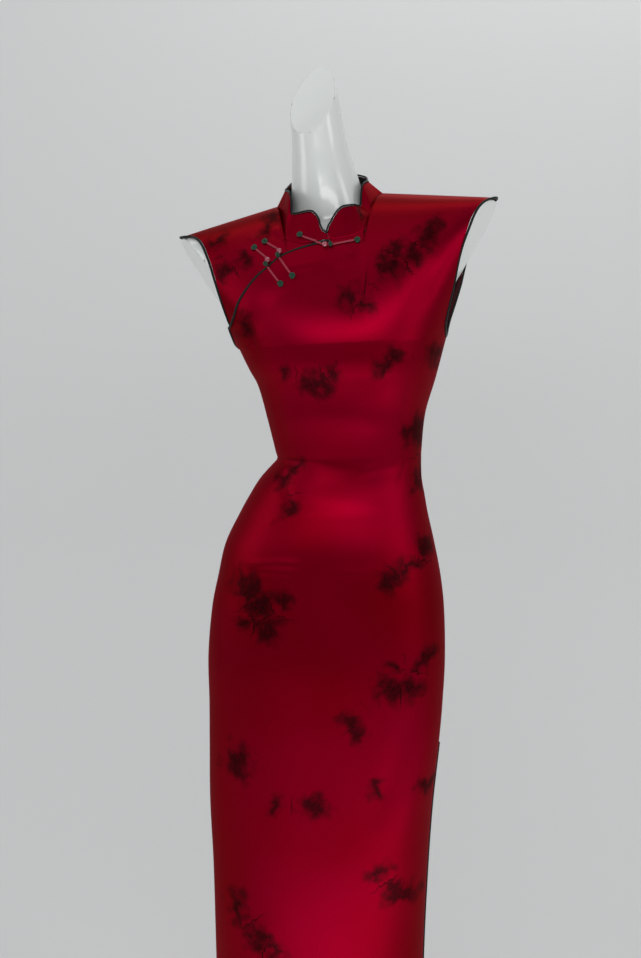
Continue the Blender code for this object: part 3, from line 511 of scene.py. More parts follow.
def makeSatin():
    # polyester satin, woven with long floats and shadow printed: a broad soft sheen over a deep red
    material, tree, shader, where = newMaterial("shadowPrintedSatin")
    names = ("sprigPlace", "sprigHold", "sprigKind")
    place, hold, kind = (addNode(tree, "ShaderNodeAttribute", {"attribute_name": name}) for name in names)
    # each sprig is a loose cluster of petals and leaves whose ink has bled into the cloth
    bleed = addNode(tree, "ShaderNodeTexNoise", {"Scale": 52.0, "Detail": 2.0, "Roughness": 0.5}, {"Vector": where})
    shift = {"operation": "MULTIPLY_ADD", 1: (2.4, 2.4, 0.0), 2: (-1.2, -1.2, 0.0)}
    shifted = addNode(tree, "ShaderNodeVectorMath", shift, {0: bleed.outputs["Color"]})
    ends = {0: place.outputs["Vector"], 1: shifted.outputs[0]}
    bent = addNode(tree, "ShaderNodeVectorMath", {"operation": "ADD"}, ends)
    across, upward, phase = addNode(tree, "ShaderNodeSeparateXYZ", links={0: bent.outputs[0]}).outputs
    radius = calc(tree, "SQRT", calc(tree, "MULTIPLY_ADD", upward, upward, calc(tree, "MULTIPLY", across, across)))
    turn = calc(tree, "ARCTAN2", upward, across)
    petals = calc(tree, "COSINE", calc(tree, "MULTIPLY_ADD", turn, 5.0, phase))
    flower = calc(tree, "MULTIPLY_ADD", petals, 0.10, 0.72)
    pair = calc(tree, "COSINE", calc(tree, "MULTIPLY", turn, 2.0))
    leaves = calc(tree, "MULTIPLY_ADD", pair, 0.30, 0.58)
    reach = addNode(tree, "ShaderNodeMix", {"data_type": "FLOAT"}, {0: kind.outputs["Fac"], 2: flower, 3: leaves})
    within = calc(tree, "SUBTRACT", reach.outputs[0], radius)
    soft = addNode(tree, "ShaderNodeMapRange", {"interpolation_type": "SMOOTHSTEP", 1: -0.85, 2: 0.50}, {0: within})
    held = calc(tree, "MULTIPLY", soft.outputs[0], hold.outputs["Fac"])
    blotch = grainOf(tree, where, 330.0, 2.0)
    worn = addNode(tree, "ShaderNodeMapRange", {1: 0.3, 2: 0.7, 3: 0.72, 4: 0.95}, {0: blotch})
    ink = calc(tree, "MULTIPLY", held, worn.outputs[0])
    # the dye is a little uneven over the length of the dress
    dyed = mixedOf(tree, grainOf(tree, where, 7.0, 1.0), satin["base"], satin["deep"])
    coloured = addNode(tree, "ShaderNodeMix", {"data_type": "RGBA", 7: toLinear(satin["print"])}, {0: ink, 6: dyed})
    tree.links.new(coloured.outputs[2], shader.inputs["Base Color"])
    # thread: floats run down the cloth; real ones are 0.1 mm, drawn at 0.5 mm so that they show
    cut = addNode(tree, "ShaderNodeUVMap", {"uv_map": "cut"})
    pitch = 1000.0 / satin["threadMm"]
    stretch = addNode(tree, "ShaderNodeMapping", {"Scale": (pitch, pitch * 0.12, 1.0)}, {"Vector": cut.outputs[0]})
    threads = grainOf(tree, stretch.outputs[0], 1.0, 1.0)
    raiseGrain(tree, shader, threads, 0.10, 0.0002)
    low, high = satin["roughness"] - 0.05, satin["roughness"] + 0.08
    rough = addNode(tree, "ShaderNodeMapRange", {1: 0.0, 2: 1.0, 3: low, 4: high}, {0: threads})
    tree.links.new(rough.outputs[0], shader.inputs["Roughness"])
    # the floats run down the dress, so its shine spreads across it
    grain = addNode(tree, "ShaderNodeTangent", {"direction_type": "UV_MAP", "uv_map": "cut"})
    tree.links.new(grain.outputs[0], shader.inputs["Tangent"])
    edge = toLinear(satin["edge"])
    setSockets(shader, {"Metallic": satin["shine"], "Anisotropic": satin["spread"], "Specular Tint": edge})
    return material


def makeWrongSide():
    # the wrong side of satin: the same yarn with short floats, so it is dull
    material, tree, shader, where = newMaterial("satinWrongSide")
    slub = grainOf(tree, where, 900.0, 2.0)
    tree.links.new(mixedOf(tree, slub, "#3A0610", "#560A1A"), shader.inputs["Base Color"])
    raiseGrain(tree, shader, slub, 0.2, 0.0002)
    setSockets(shader, {"Roughness": 0.75})
    return material


def simpleCloth(name, colour, dark, grainMm, roughness, sheen):
    # cord and bias binding: dull yarn with a fine twist
    material, tree, shader, where = newMaterial(name)
    grain = grainOf(tree, where, 1000.0 / grainMm, 2.0)
    tree.links.new(mixedOf(tree, grain, dark, colour), shader.inputs["Base Color"])
    raiseGrain(tree, shader, grain, 0.3, 0.0003)
    setSockets(shader, {"Roughness": roughness, "Sheen Weight": sheen, "Specular IOR Level": 0.2})
    return material


def makeBead():
    # cut glass bead: hard glossy facets over a clear red, with painted glints: pale pink spots painted into its
    # colour
    material, tree, shader, where = newMaterial("cutGlassBead")
    # painted highlight: small pale pink spots in the base colour stand for glints of light on the facets
    paintedGlint = addNode(tree, "ShaderNodeTexVoronoi", {"Scale": 900.0}, {"Vector": where})
    tree.links.new(mixedOf(tree, paintedGlint.outputs["Distance"], "#D07888", "#7A0A28"), shader.inputs["Base Color"])
    setSockets(shader, {"Roughness": 0.08, "Coat Weight": 1.0})
    return material


def makeForm():
    # moulded glass fibre with sprayed gloss enamel: smooth, with a faint orange peel
    material, tree, shader, where = newMaterial("glossEnamelOnFibreglass")
    raiseGrain(tree, shader, grainOf(tree, where, 260.0, 2.0), 0.03, 0.0005)
    dust = mixedOf(tree, grainOf(tree, where, 9.0, 3.0), "#F0F3F1", "#E6EBE9")
    tree.links.new(dust, shader.inputs["Base Color"])
    setSockets(shader, {"Roughness": 0.22, "Coat Weight": 0.4, "Coat Roughness": 0.06})
    return material


def makeSteel():
    # drawn steel tube, brushed round: dull bright metal with fine lines
    material, tree, shader, where = newMaterial("brushedSteelTube")
    stretch = addNode(tree, "ShaderNodeMapping", {"Scale": (60.0, 60.0, 2500.0)}, {"Vector": where})
    lines = grainOf(tree, stretch.outputs[0], 1.0, 2.0)
    rough = addNode(tree, "ShaderNodeMapRange", {3: 0.25, 4: 0.42}, {0: lines})
    tree.links.new(rough.outputs[0], shader.inputs["Roughness"])
    setSockets(shader, {"Base Color": toLinear("#C4C5C6"), "Metallic": 1.0})
    return material


def makeBase():
    # powder coated steel plate: even, with a fine pebble
    material, tree, shader, where = newMaterial("powderCoatedSteel")
    raiseGrain(tree, shader, grainOf(tree, where, 1400.0, 1.0), 0.08, 0.0003)
    setSockets(shader, {"Base Color": toLinear("#DADBD8"), "Roughness": 0.38})
    return material


satinMaterial, wrongSideMaterial = makeSatin(), makeWrongSide()
collarInsideMaterial = simpleCloth("blackCottonFacing", "#161414", "#0A0909", 0.8, 0.8, 0.02)
pipingMaterial = simpleCloth("biasBindingSatin", "#171E1B", "#080B0B", 1.2, 0.5, 0.02)
cordMaterial = simpleCloth("rolledSatinCord", "#C04858", "#8A2438", 1.5, 0.5, 0.1)
knotMaterial = simpleCloth("braidedGreenCord", "#2A5C46", "#10261E", 1.2, 0.5, 0.1)
beadMaterial, formMaterial, steelMaterial, baseMaterial = makeBead(), makeForm(), makeSteel(), makeBase()
print("materials made")

panelCut = dict(
    columns=121, lowRows=250, highRows=70, crowd=1.25, notchDegrees=3.8, quietSide=5, quietTop=6,
    yokeColumns=61, yokeRows=56, yokeCrowd=1.1, yokeDeep=0.19, yokeQuietSide=4, yokeQuietFoot=16, inside=3,
)
neckCorner = math.sin(math.radians(figure["corner"]))
notchPlace = math.sin(math.radians(panelCut["notchDegrees"]))
hair = 1e-4


def evenPlaces(count, marks, spread=180):
    # column places evenly round the body from the right side seam, with a column at each mark
    places = [math.sin(math.radians(-90 + spread * k / (count - 1))) for k in range(count)]
    for mark in marks:
        near = min(range(count), key=lambda k: abs(places[k] - mark))
        places[near] = mark
    return places


def crowded(step, steps, power):
    # rows drawn closer together towards the top edge
    return math.sin(math.pi / 2 * step / steps) ** power


def faceAlong(bm, hand):
    # turn the faces over if they look the wrong way
    bm.normal_update()
    if sum(f.normal.y for f in bm.faces) * hand < 0:
        bmesh.ops.reverse_faces(bm, faces=bm.faces[:])


def quietNear(grid, sides, top, foot=0):
    # the cloth keeps still at its side and top edges, and at its foot where it has another cloth over it
    quiet = {}
    for j, row in enumerate(grid):
        for i, vert in enumerate(row):
            still = blend(min(i, len(row) - 1 - i) / sides) * blend((len(grid) - 1 - j) / top)
            quiet[vert.index] = still * blend(j / foot) if foot else still
    return quiet


def edgesOf(grid, places):
    # the finished edges, and the lines a little inside them
    within = panelCut["inside"]
    columns = (("right", 0), ("left", -1), ("rightIn", within - 1), ("leftIn", -within))
    line = {name: [row[k].co.copy() for row in grid] for name, k in columns}
    line["top"] = [vert.co.copy() for vert in grid[-1]]
    line["topIn"] = [vert.co.copy() for vert in grid[-within]]
    line["places"] = places
    return line


def finishCloth(bm, flat, sprigs, name, node, inside):
    markUv(bm, flat)
    markPrint(bm, flat, sprigs)
    made = finishMesh(bm, name, satinMaterial)
    giveWall(made, inside)
    mount(made, node)
    return made


def buildPanel(face, creases, sprigs, name, node):
    places = evenPlaces(panelCut["columns"], (-neckCorner, neckCorner, notchPlace)[:3 if face < 0 else 2])
    lows, highs = panelCut["lowRows"], panelCut["highRows"]
    bm, grid = sheetOf(len(places), lows + highs)
    bm.verts.index_update()
    levels = [figure["hem"] + (figure["armpit"] - figure["hem"]) * j / (lows - 1) for j in range(lows)]
    flat, lifts = {}, {}
    for i, place in enumerate(places):
        edge = placketShare(place) if face < 0 and place < notchPlace - hair else topShare(place, face)
        for j, height in enumerate(levels):
            vert = grid[j][i]
            vert.co = lowPoint(place, height, face)
            flat[vert.index] = (halfAt(height) * place, height)
        for j in range(highs):
            vert = grid[lows + j][i]
            share = edge * crowded(j + 1, highs, panelCut["crowd"])
            vert.co = columnPoint(place, share, face)
            side = columnSide(place, share, face)
            flat[vert.index] = (side, heightAt(side, share))
            lifts[vert.index] = lapLift(place, share, edge) if face < 0 else 0.0
    faceAlong(bm, face)
    quiet = quietNear(grid, panelCut["quietSide"], panelCut["quietTop"])

    def amount(side, height, vert):
        fromStitch = height - figure["hem"] - cloth["hemDeep"]
        out = creaseOut(creases, side, height) + slowSwell(side, height, face)
        out -= cloth["hemGroove"] * math.exp(-((fromStitch / cloth["hemGrooveHalf"]) ** 2))
        return out * quiet[vert.index] + lifts.get(vert.index, 0.0)

    pushOut(bm, flat, amount)
    # each slit stands a little open
    for row, height in zip(grid, levels):
        if height < figure["slit"]:
            open_ = blend((figure["slit"] - height) / cloth["slitFade"])
            for vert in (row[0], row[-1]):
                vert.co.y = face * cloth["pull"] * open_
    line = edgesOf(grid, places)
    return finishCloth(bm, flat, sprigs, name, node, wrongSideMaterial), line


frontPiece, frontLine = buildPanel(-1, frontCreases, frontSprigs, "frontPanelCloth", "front_panel")
backPiece, backLine = buildPanel(1, backCreases, backSprigs, "backPanelCloth", "back_panel")
print("front and back made")


def buildYoke():
    rows = panelCut["yokeRows"]
    places = evenPlaces(panelCut["yokeColumns"], (-neckCorner,), 90)
    bm, grid = sheetOf(len(places), rows)
    bm.verts.index_update()
    flat = {}
    for i, place in enumerate(places):
        top = topShare(place, -1)
        start = placketShare(place) - cloth["overlap"] / panelCut["yokeDeep"]
        for j in range(rows):
            share = start + (top - start) * crowded(j, rows - 1, panelCut["yokeCrowd"])
            vert = grid[j][i]
            vert.co = columnPoint(place, share, -1)
            side = columnSide(place, share, -1)
            flat[vert.index] = (side, heightAt(side, share))
    faceAlong(bm, -1)
    quiet = quietNear(grid, panelCut["yokeQuietSide"], panelCut["quietTop"], panelCut["yokeQuietFoot"])
    pushOut(bm, flat, lambda side, height, vert: quiet[vert.index] * creaseOut(yokeCreases, side, height))
    line = edgesOf(grid, places)
    return finishCloth(bm, flat, yokeSprigs, "frontYokeCloth", "front_yoke", wrongSideMaterial), line


yokePiece, yokeLine = buildYoke()
print("yoke made")

collarSizes = dict(
    # degrees round from the notch, height of the top edge, share of the way in to the top ring
    edge=(
        (0.0, 1.3010, 0.15), (3.0, 1.3060, 0.30), (7.0, 1.3180, 0.55), (12.0, 1.3280, 0.80), (18.0, 1.3330, 0.95),
        (42.0, 1.3340, 1.00), (44.5, 1.3400, 1.00), (46.5, 1.3540, 1.00), (51.0, 1.3620, 1.00), (62.0, 1.3670, 1.00),
        (90.0, 1.3720, 1.00), (135.0, 1.3870, 1.00), (180.0, 1.3960, 1.00),
    ),
    lean=((0.0, 0.170), (45.0, 0.180), (90.0, 0.205), (135.0, 0.130), (180.0, 0.075)),
    shift=-0.0035, spread=0.16, spreadFrom=50, spreadOver=130, tilt=6.3, seam=0.0001, meet=0.94, tuck=0.0025,
    lap=(0.0058, -0.0024, 0.0024), lapOver=7.0, swell=0.0005, swellFade=0.01, columns=241, rows=15,
    sprigs=((0.345, 0.012, 0.014, 1, 0.5), (0.06, 0.02, 0.012, 1, 1.4), (0.19, 0.03, 0.014, 0, 0.2)),
)


def collarAngle(place):
    depth = figure["neckFront"] if place.y < 0 else figure["neckBack"]
    return math.degrees(math.atan2((place.x - figure["neckMiddle"]) / figure["neckHalf"], -place.y / depth))


def collarLine():
    # the finished neckline from the notch round by the wearer's left, the back and the right
    corner, over, lift = neckCorner + hair, collarSizes["lapOver"], Vector(collarSizes["lap"])
    line = [p for p, place in zip(frontLine["top"], frontLine["places"]) if notchPlace - hair < place < corner]
    line += [p for p, place in zip(backLine["top"], backLine["places"]) if abs(place) < corner][::-1][1:-1]
    for p, place in zip(yokeLine["top"], yokeLine["places"]):
        if place > -corner:
            line.append(p + lift * blend((math.degrees(math.asin(place)) + over) / over))
    return line


def evenAlong(points, count):
    lengths = [0.0]
    for here, there in zip(points, points[1:]):
        lengths.append(lengths[-1] + (there - here).length)
    out, k = [], 0
    for i in range(count):
        want = lengths[-1] * i / (count - 1)
        while k < len(points) - 2 and lengths[k + 1] < want:
            k += 1
        s = (want - lengths[k]) / max(lengths[k + 1] - lengths[k], 1e-9)
        out.append(points[k].lerp(points[k + 1], min(max(s, 0.0), 1.0)))
    return out, lengths[-1]


def buildCollar():
    sizes = collarSizes
    columns, rows = sizes["columns"], sizes["rows"]
    base, length = evenAlong(collarLine(), columns)
    start = math.degrees(math.asin(figure["notch"] / figure["neckHalf"]))
    bm, grid = sheetOf(columns, rows)
    bm.verts.index_update()
    flat = {}
    for i, foot in enumerate(base):
        angle, across = collarAngle(foot), foot.x - figure["neckMiddle"]
        turn = abs((angle - start + 180) % 360 - 180)
        if across > 0:
            turn *= 1 - sizes["spread"] * (1 - blend((turn - sizes["spreadFrom"]) / sizes["spreadOver"]))
        if i in (0, columns - 1):
            turn = 0.0
        foot = foot + Vector((0.0, 0.0, sizes["seam"]))
        inward = readCurve(sizes["lean"], abs(angle), 1) * readLine(sizes["edge"], turn, 2)
        height = readCurve(sizes["edge"], turn, 1) + across * math.tan(math.radians(sizes["tilt"]))
        edge = Vector((foot.x - across * inward + sizes["shift"], foot.y * (1 - inward), height))
        for j in range(rows):
            s = j / (rows - 1)
            grid[j][i].co = foot.lerp(edge, s)
            flat[grid[j][i].index] = (length * i / (columns - 1), s * (edge - foot).length)
    bm.normal_update()
    if grid[rows // 2][columns // 2].normal.y < 0:
        bmesh.ops.reverse_faces(bm, faces=bm.faces[:])

    def amount(along, up, vert):
        return sizes["swell"] * noise.noise(Vector((along * 30, up * 20, 0.0))) * blend(up / sizes["swellFade"])

    pushOut(bm, flat, amount)
    # the two front ends meet under the notch, tucked a little behind the front's edge
    for j, row in enumerate(grid):
        middle = (row[0].co + row[-1].co) / 2
        for end, beside in ((row[0], row[1]), (row[-1], row[-2])):
            move = (middle - end.co) * sizes["meet"]
            if j == 0:
                move.z -= sizes["tuck"]
            end.co += move
            beside.co += move * 0.5
    line = {"top": [v.co.copy() for v in grid[-1]], "topIn": [v.co.copy() for v in grid[-2]]}
    return finishCloth(bm, flat, sizes["sprigs"], "collarCloth", "collar", collarInsideMaterial), line


collarPiece, collarEdge = buildCollar()
print("collar made")


def cordAlong(name, lines, radius, material, node, closed=False, sides=3):
    # a round cord, or several side by side, along lines of points
    curve = bpy.data.curves.new(name, "CURVE")
    curve.dimensions = "3D"
    curve.bevel_depth = radius
    curve.bevel_resolution = sides
    curve.use_fill_caps = not closed
    for points in lines:
        spline = curve.splines.new("POLY")
        spline.points.add(len(points) - 1)
        for point, place in zip(spline.points, points):
            point.co = (*place, 1.0)
        spline.use_cyclic_u = closed
        spline.use_smooth = True
    curve.materials.append(material)
    made = bpy.data.objects.new(name, curve)
    bpy.context.scene.collection.objects.link(made)
    mount(made, node)
    return made


def beyondEdge(edge, inner, step):
    line = []
    for k, place in enumerate(edge):
        along = (edge[min(k + 1, len(edge) - 1)] - edge[max(k - 1, 0)]).normalized()
        out = place - inner[k]
        out -= along * out.dot(along)
        line.append(place + out.normalized() * step)
    return line


def thinOut(points, least):
    kept = [points[0]]
    for place in points[1:]:
        if (place - kept[-1]).length > least:
            kept.append(place)
    return kept


piping = dict(
    radius=0.0016, collarRadius=0.0012, gap=0.0003, every=0.0030, collarEvery=0.0018, slitEvery=0.006,
    underarm=0.0006, slitStop=0.012, lapStart=0.002,
)


def pipe(name, line, every, node, radius=piping["radius"], closed=False):
    cordAlong(name, [thinOut(line, every)], radius, pipingMaterial, node, closed=closed)


def buildPipings():
    step, gap, low = piping["radius"] + piping["gap"], piping["gap"], panelCut["lowRows"] - 1
    edge = beyondEdge(collarEdge["top"], collarEdge["topIn"], piping["collarRadius"] + gap)
    pipe("collarPiping", edge, piping["collarEvery"], "collar_piping", piping["collarRadius"])
    stop = [k for k, place in enumerate(frontLine["places"]) if place < notchPlace - hair][-1] + 2
    edge = beyondEdge(frontLine["top"][:stop], frontLine["topIn"][:stop], step)
    pipe("placketPiping", edge[2:-1], piping["every"], "placket_piping")
    above = frontLine["right"][-1].z + piping["lapStart"]
    skip = next(k for k, p in enumerate(yokeLine["right"]) if p.z > above)
    for hand in ("left", "right"):
        front, frontIn = frontLine[hand][low:], frontLine[hand + "In"][low:]
        if hand == "right":
            front, frontIn = front + yokeLine["right"][skip:], frontIn + yokeLine["rightIn"][skip:]
        back, backIn = backLine[hand][low:], backLine[hand + "In"][low:]
        line = beyondEdge(front, frontIn, step + gap)[2:-1]
        tip = (front[-1] + back[-1]) / 2
        away = tip - (frontIn[-1] + backIn[-1]) / 2
        line.append(tip + away.normalized() * (step + gap))
        line += beyondEdge(back, backIn, step + gap)[2:-1][::-1]
        line.append((front[0] + back[0]) / 2 + Vector((0.0, 0.0, step + piping["underarm"])))
        pipe("armholePiping" + hand.title(), line, piping["every"], "armhole_piping_" + hand, closed=True)
    for face, line, word in ((-1, frontLine, "front"), (1, backLine, "back")):
        for hand in ("left", "right"):
            stop = figure["slit"] - piping["slitStop"]
            edge = [p - Vector((0.0, face * step, 0.0)) for p in line[hand] if p.z < stop]
            name = "slitPiping" + word.title() + hand.title()
            pipe(name, edge, piping["slitEvery"], f"slit_piping_{word}_{hand}")


buildPipings()
print("edge cords made")

frogs = (
    ("collar_frog", (-0.0310, 1.3035), (0.0015, 1.2860), (0.0095, 1.2858), (0.0430, 1.2892)),
    ("chest_frog_upper", (-0.0800, 1.3010), (-0.0580, 1.2860), (-0.0610, 1.2785), (-0.0433, 1.2505)),
    ("chest_frog_lower", (-0.0950, 1.2945), (-0.0745, 1.2755), (-0.0775, 1.2675), (-0.0599, 1.2415)),
)
frog = dict(
    cord=0.00065, coil=0.0048, coilCord=0.00085, coilTurns=2.3, coilRise=0.0010, coilSteps=60, knot=0.0033,
    knotCord=0.0008, knotSteps=150, knotLean=62, bead=0.0036, beadGap=0.0004, rest=0.0003, cordSteps=16,
    cordReach=0.0018, seat=0.6,
)


def outwardAt(side, height):
    share = (height - figure["armpit"]) / (shoulderHeight(side) - figure["armpit"])
    across = highPoint(side + 0.002, share, -1) - highPoint(side - 0.002, share, -1)
    along = highPoint(side, share + 0.01, -1) - highPoint(side, share - 0.01, -1)
    return across.cross(along).normalized()


def clothTree():
    bm = bmesh.new()
    graph = bpy.context.evaluated_depsgraph_get()
    for name in ("frontPanelCloth", "frontYokeCloth", "collarCloth", "placketPiping"):
        mesh = bpy.data.objects[name].evaluated_get(graph).to_mesh()
        bm.from_mesh(mesh)
    tree = BVHTree.FromBMesh(bm)
    bm.free()
    return tree


def onCloth(tree, side, height, reach, off):
    # a place that clears all the cloth within reach
    out = outwardAt(side, height)
    place = pose(side, 0.0, height)
    highest, middle = None, None
    for turn in range(9):
        step = 0.0 if turn == 0 else reach
        bend = math.radians(45 * turn)
        start = Vector((place.x + step * math.cos(bend), -0.30, place.z + step * math.sin(bend)))
        hit = tree.ray_cast(start, Vector((0.0, 1.0, 0.0)), 0.28)[0]
        if hit is None:
            continue
        middle = middle or hit
        level = hit.dot(out)
        highest = level if highest is None else max(highest, level)
    return middle + out * (highest - middle.dot(out) + off), out


def frameOf(out):
    across = Vector((1.0, 0.0, 0.0))
    across = (across - out * across.dot(out)).normalized()
    return across, out.cross(across)


def coilPoints(tree, place, hand):
    spot, out = onCloth(tree, *place, frog["coil"], frog["rest"] + frog["coilCord"])
    u, v = frameOf(out)
    points = []
    for k in range(frog["coilSteps"]):
        s = k / (frog["coilSteps"] - 1)
        turn = 2 * math.pi * frog["coilTurns"] * s * hand
        wide = frog["coilCord"] + (frog["coil"] - 2 * frog["coilCord"]) * s
        points.append(spot + (u * math.cos(turn) + v * math.sin(turn)) * wide + out * frog["coilRise"] * (1 - s * s))
    return points


def knotPoints(spot, out):
    # a ball knot: three turns round, five up and down, passing over and under itself
    u, v = frameOf(out)
    points = []
    for k in range(frog["knotSteps"]):
        turn = 2 * math.pi * k / frog["knotSteps"]
        lat = math.radians(frog["knotLean"]) * math.sin(5 * turn)
        wide = frog["knot"] - frog["knotCord"] * (1.0 + 0.35 * math.cos(10 * turn + 0.6))
        ring = (u * math.cos(3 * turn) + v * math.sin(3 * turn)) * math.cos(lat) + out * math.sin(lat)
        points.append(spot + ring * wide)
    return points


def stemLines(tree, start, end, stop):
    # two cords side by side from a coil to a knot or bead
    steps, reach, off = frog["cordSteps"], frog["cordReach"], frog["rest"] + frog["cord"]
    run = Vector((end[0] - start[0], end[1] - start[1]))
    clear = frog["coil"] - frog["cord"]
    places = []
    for k in range(steps + 1):
        spot = run.normalized() * (clear + (run.length - clear - stop * 0.9) * k / steps)
        place, out = onCloth(tree, start[0] + spot.x, start[1] + spot.y, reach, off)
        places.append(place)
    # a taut cord bridges what it crosses: its height is evened out along its run
    rise = [(place - places[0].lerp(places[-1], k / steps)).dot(out) for k, place in enumerate(places)]
    high = [max(rise[max(k - 2, 0):k + 3]) for k in range(steps + 1)]
    aside = out.cross(Vector((run.x, 0.0, run.y))).normalized() * frog["cord"] * 1.02
    lines = [[], []]
    for k, place in enumerate(places):
        near = high[max(k - 3, 0):k + 4]
        place = place + out * (sum(near) / len(near) - rise[k])
        lines[0].append(place + aside)
        lines[1].append(place - aside)
    return lines


def buildFrogs():
    tree = clothTree()
    for name, first, bead, knot, last in frogs:
        short = "".join(word.title() for word in name.split("_"))
        for label, place, hand in (("A", first, 1), ("B", last, -1)):
            cordAlong(short + "Coil" + label, [coilPoints(tree, place, hand)], frog["coilCord"], knotMaterial,
                      f"{name}_coil_{label.lower()}")
        knotSpot, out = onCloth(tree, *knot, frog["knot"] * frog["seat"], frog["rest"] + frog["knot"])
        cordAlong(short + "Knot", [knotPoints(knotSpot, out)], frog["knotCord"], knotMaterial, name + "_knot",
                  closed=True, sides=2)
        spot, out = onCloth(tree, *bead, frog["bead"] * frog["seat"], frog["rest"] + frog["bead"])
        spot = knotSpot + (spot - knotSpot).normalized() * (frog["knot"] + frog["bead"] + frog["beadGap"])
        bm = bmesh.new()
        where = Matrix.Translation(spot) @ out.to_track_quat("Z", "Y").to_matrix().to_4x4()
        bmesh.ops.create_uvsphere(bm, u_segments=10, v_segments=7, radius=frog["bead"], matrix=where)
        mount(finishMesh(bm, short + "Bead", beadMaterial, smooth=False), name + "_bead")
        for label, start, end, stop in (("A", first, bead, frog["bead"]), ("B", last, knot, frog["knot"])):
            cordAlong(short + "Cord" + label, stemLines(tree, start, end, stop), frog["cord"], cordMaterial,
                      f"{name}_cord_{label.lower()}", sides=2)


buildFrogs()
print("fastenings made")

form = dict(
    # height, gap at the sides, gap at the front and back
    gaps=(
        (0.600, 0.0120, 0.0120), (0.670, 0.0050, 0.0050), (0.720, 0.0012, 0.0012), (0.820, 0.0012, 0.0012),
        (0.895, 0.0035, 0.0035), (1.003, 0.0055, 0.0060), (1.106, 0.0060, 0.0032), (1.132, 0.0090, 0.0016),
        (1.160, 0.0120, 0.0016),
    ),
    # height, middle sideways, middle back, half-width, half-depth
    neck=(
        (1.290, 0.0150, 0.010, 0.0580, 0.0500), (1.345, 0.0110, 0.006, 0.0520, 0.0500),
        (1.386, 0.0054, 0.004, 0.0450, 0.0475), (1.415, 0.0010, 0.003, 0.0400, 0.0440),
        (1.447, -0.0034, 0.000, 0.0365, 0.0400), (1.490, -0.0080, -0.0040, 0.0338, 0.0365),
        (1.520, -0.0117, -0.0065, 0.0290, 0.0330), (1.560, -0.0162, -0.0100, 0.0240, 0.0290),
    ),
    bottom=0.600, columns=60, lowRows=90, highRows=50, neckColumns=64, neckRows=35, weld=0.0001,
    chestGap=0.0026, underGap=0.0016, crestGap=0.0012, armpitGap=0.0120, stubGap=0.0018, neckGap=0.0150,
    crestFrom=0.7, crestOver=0.3, chestOver=0.2, armpitOver=0.5, neckFrom=0.4, neckOver=0.3, neckHalf=0.076,
    neckFade=0.035, neckCut=(-0.0085, -0.005, 1.4905), neckFacing=(-0.38, -0.78, 0.52), neckAbove=1.40,
    voxel=0.004, smoothing=6, edge=0.0012,
    # the slanted cut of each shoulder: hand, upper and lower end
    stubs=((-1, (0.2195, 1.334), (0.160, 1.222)), (1, (0.2165, 1.334), (0.135, 1.222))),
    stubLean=-0.04, stubBelow=0.004, stubSide=0.05,
)


def joinInto(bm, part):
    spare = bpy.data.meshes.new("spare")
    part.to_mesh(spare)
    part.free()
    bm.from_mesh(spare)
    bpy.data.meshes.remove(spare)


def closeShell(bm):
    bmesh.ops.remove_doubles(bm, verts=bm.verts[:], dist=form["weld"])
    bmesh.ops.holes_fill(bm, edges=[e for e in bm.edges if e.is_boundary], sides=0)


def wrapForm():
    # torso halves and neck, each a closed shell
    bm = bmesh.new()
    columns, lows, highs = form["columns"], form["lowRows"], form["highRows"]
    for face in (-1, 1):
        part, grid = sheetOf(columns + 1, lows + highs)
        for i in range(columns + 1):
            place = math.sin(math.radians(-90 + 180 * i / columns))
            for j in range(lows):
                height = form["bottom"] + (figure["armpit"] - form["bottom"]) * j / (lows - 1)
                side, depth = (cloth["wall"] + readLine(form["gaps"], height, k) for k in (1, 2))
                grid[j][i].co = lowPoint(place, height, face, side, depth)
            for j in range(highs):
                share = crowded(j + 1, highs, panelCut["crowd"])
                crest = blend((share - form["crestFrom"]) / form["crestOver"])
                chest = blend(share / form["chestOver"])
                gap = form["chestGap"] * (1 - crest) * chest + form["underGap"] * (1 - chest)
                gap += form["crestGap"] * crest
                narrow = (form["armpitGap"] - form["stubGap"]) * (1 - blend(share / form["armpitOver"]))
                inset = cloth["wall"] + form["stubGap"] + narrow
                side = (chestHalf(share) - inset) * place
                neck = form["neckGap"] * (1 - blend((abs(side) - form["neckHalf"]) / form["neckFade"]))
                neck *= blend((share - form["neckFrom"]) / form["neckOver"])
                grid[lows + j][i].co = highPoint(side, share, face, inset, cloth["wall"] + gap + neck)
        joinInto(bm, part)
    closeShell(bm)
    part, grid = sheetOf(form["neckColumns"] + 1, form["neckRows"] + 1)
    low, high = form["neck"][0][0], form["neck"][-1][0]
    for j, row in enumerate(grid):
        height = low + (high - low) * j / form["neckRows"]
        x, y, half, depth = (readCurve(form["neck"], height, column) for column in (1, 2, 3, 4))
        for i, vert in enumerate(row):
            turn = 2 * math.pi * i / form["neckColumns"]
            vert.co = (x + half * math.cos(turn), y + depth * math.sin(turn), height)
    closeShell(part)
    joinInto(bm, part)
    bmesh.ops.recalc_face_normals(bm, faces=bm.faces[:])
    return bm


def cutFlat(bm, faces, place, facing):
    # saw through the shell along a plane and close it with a flat, slightly eased face
    parts = list({part for f in faces for part in (*f.verts, *f.edges)}) + faces
    bmesh.ops.bisect_plane(bm, geom=parts, plane_co=place, plane_no=facing.normalized(), clear_outer=True)
    rim = [e for e in bm.edges if e.is_boundary]
    made = bmesh.ops.holes_fill(bm, edges=rim, sides=0)["faces"]
    for face in made:
        face.smooth = False
    around = list({e for face in made for e in face.edges})
    bmesh.ops.bevel(bm, geom=around, offset=form["edge"], segments=2, profile=0.5, affect="EDGES", material=-1)


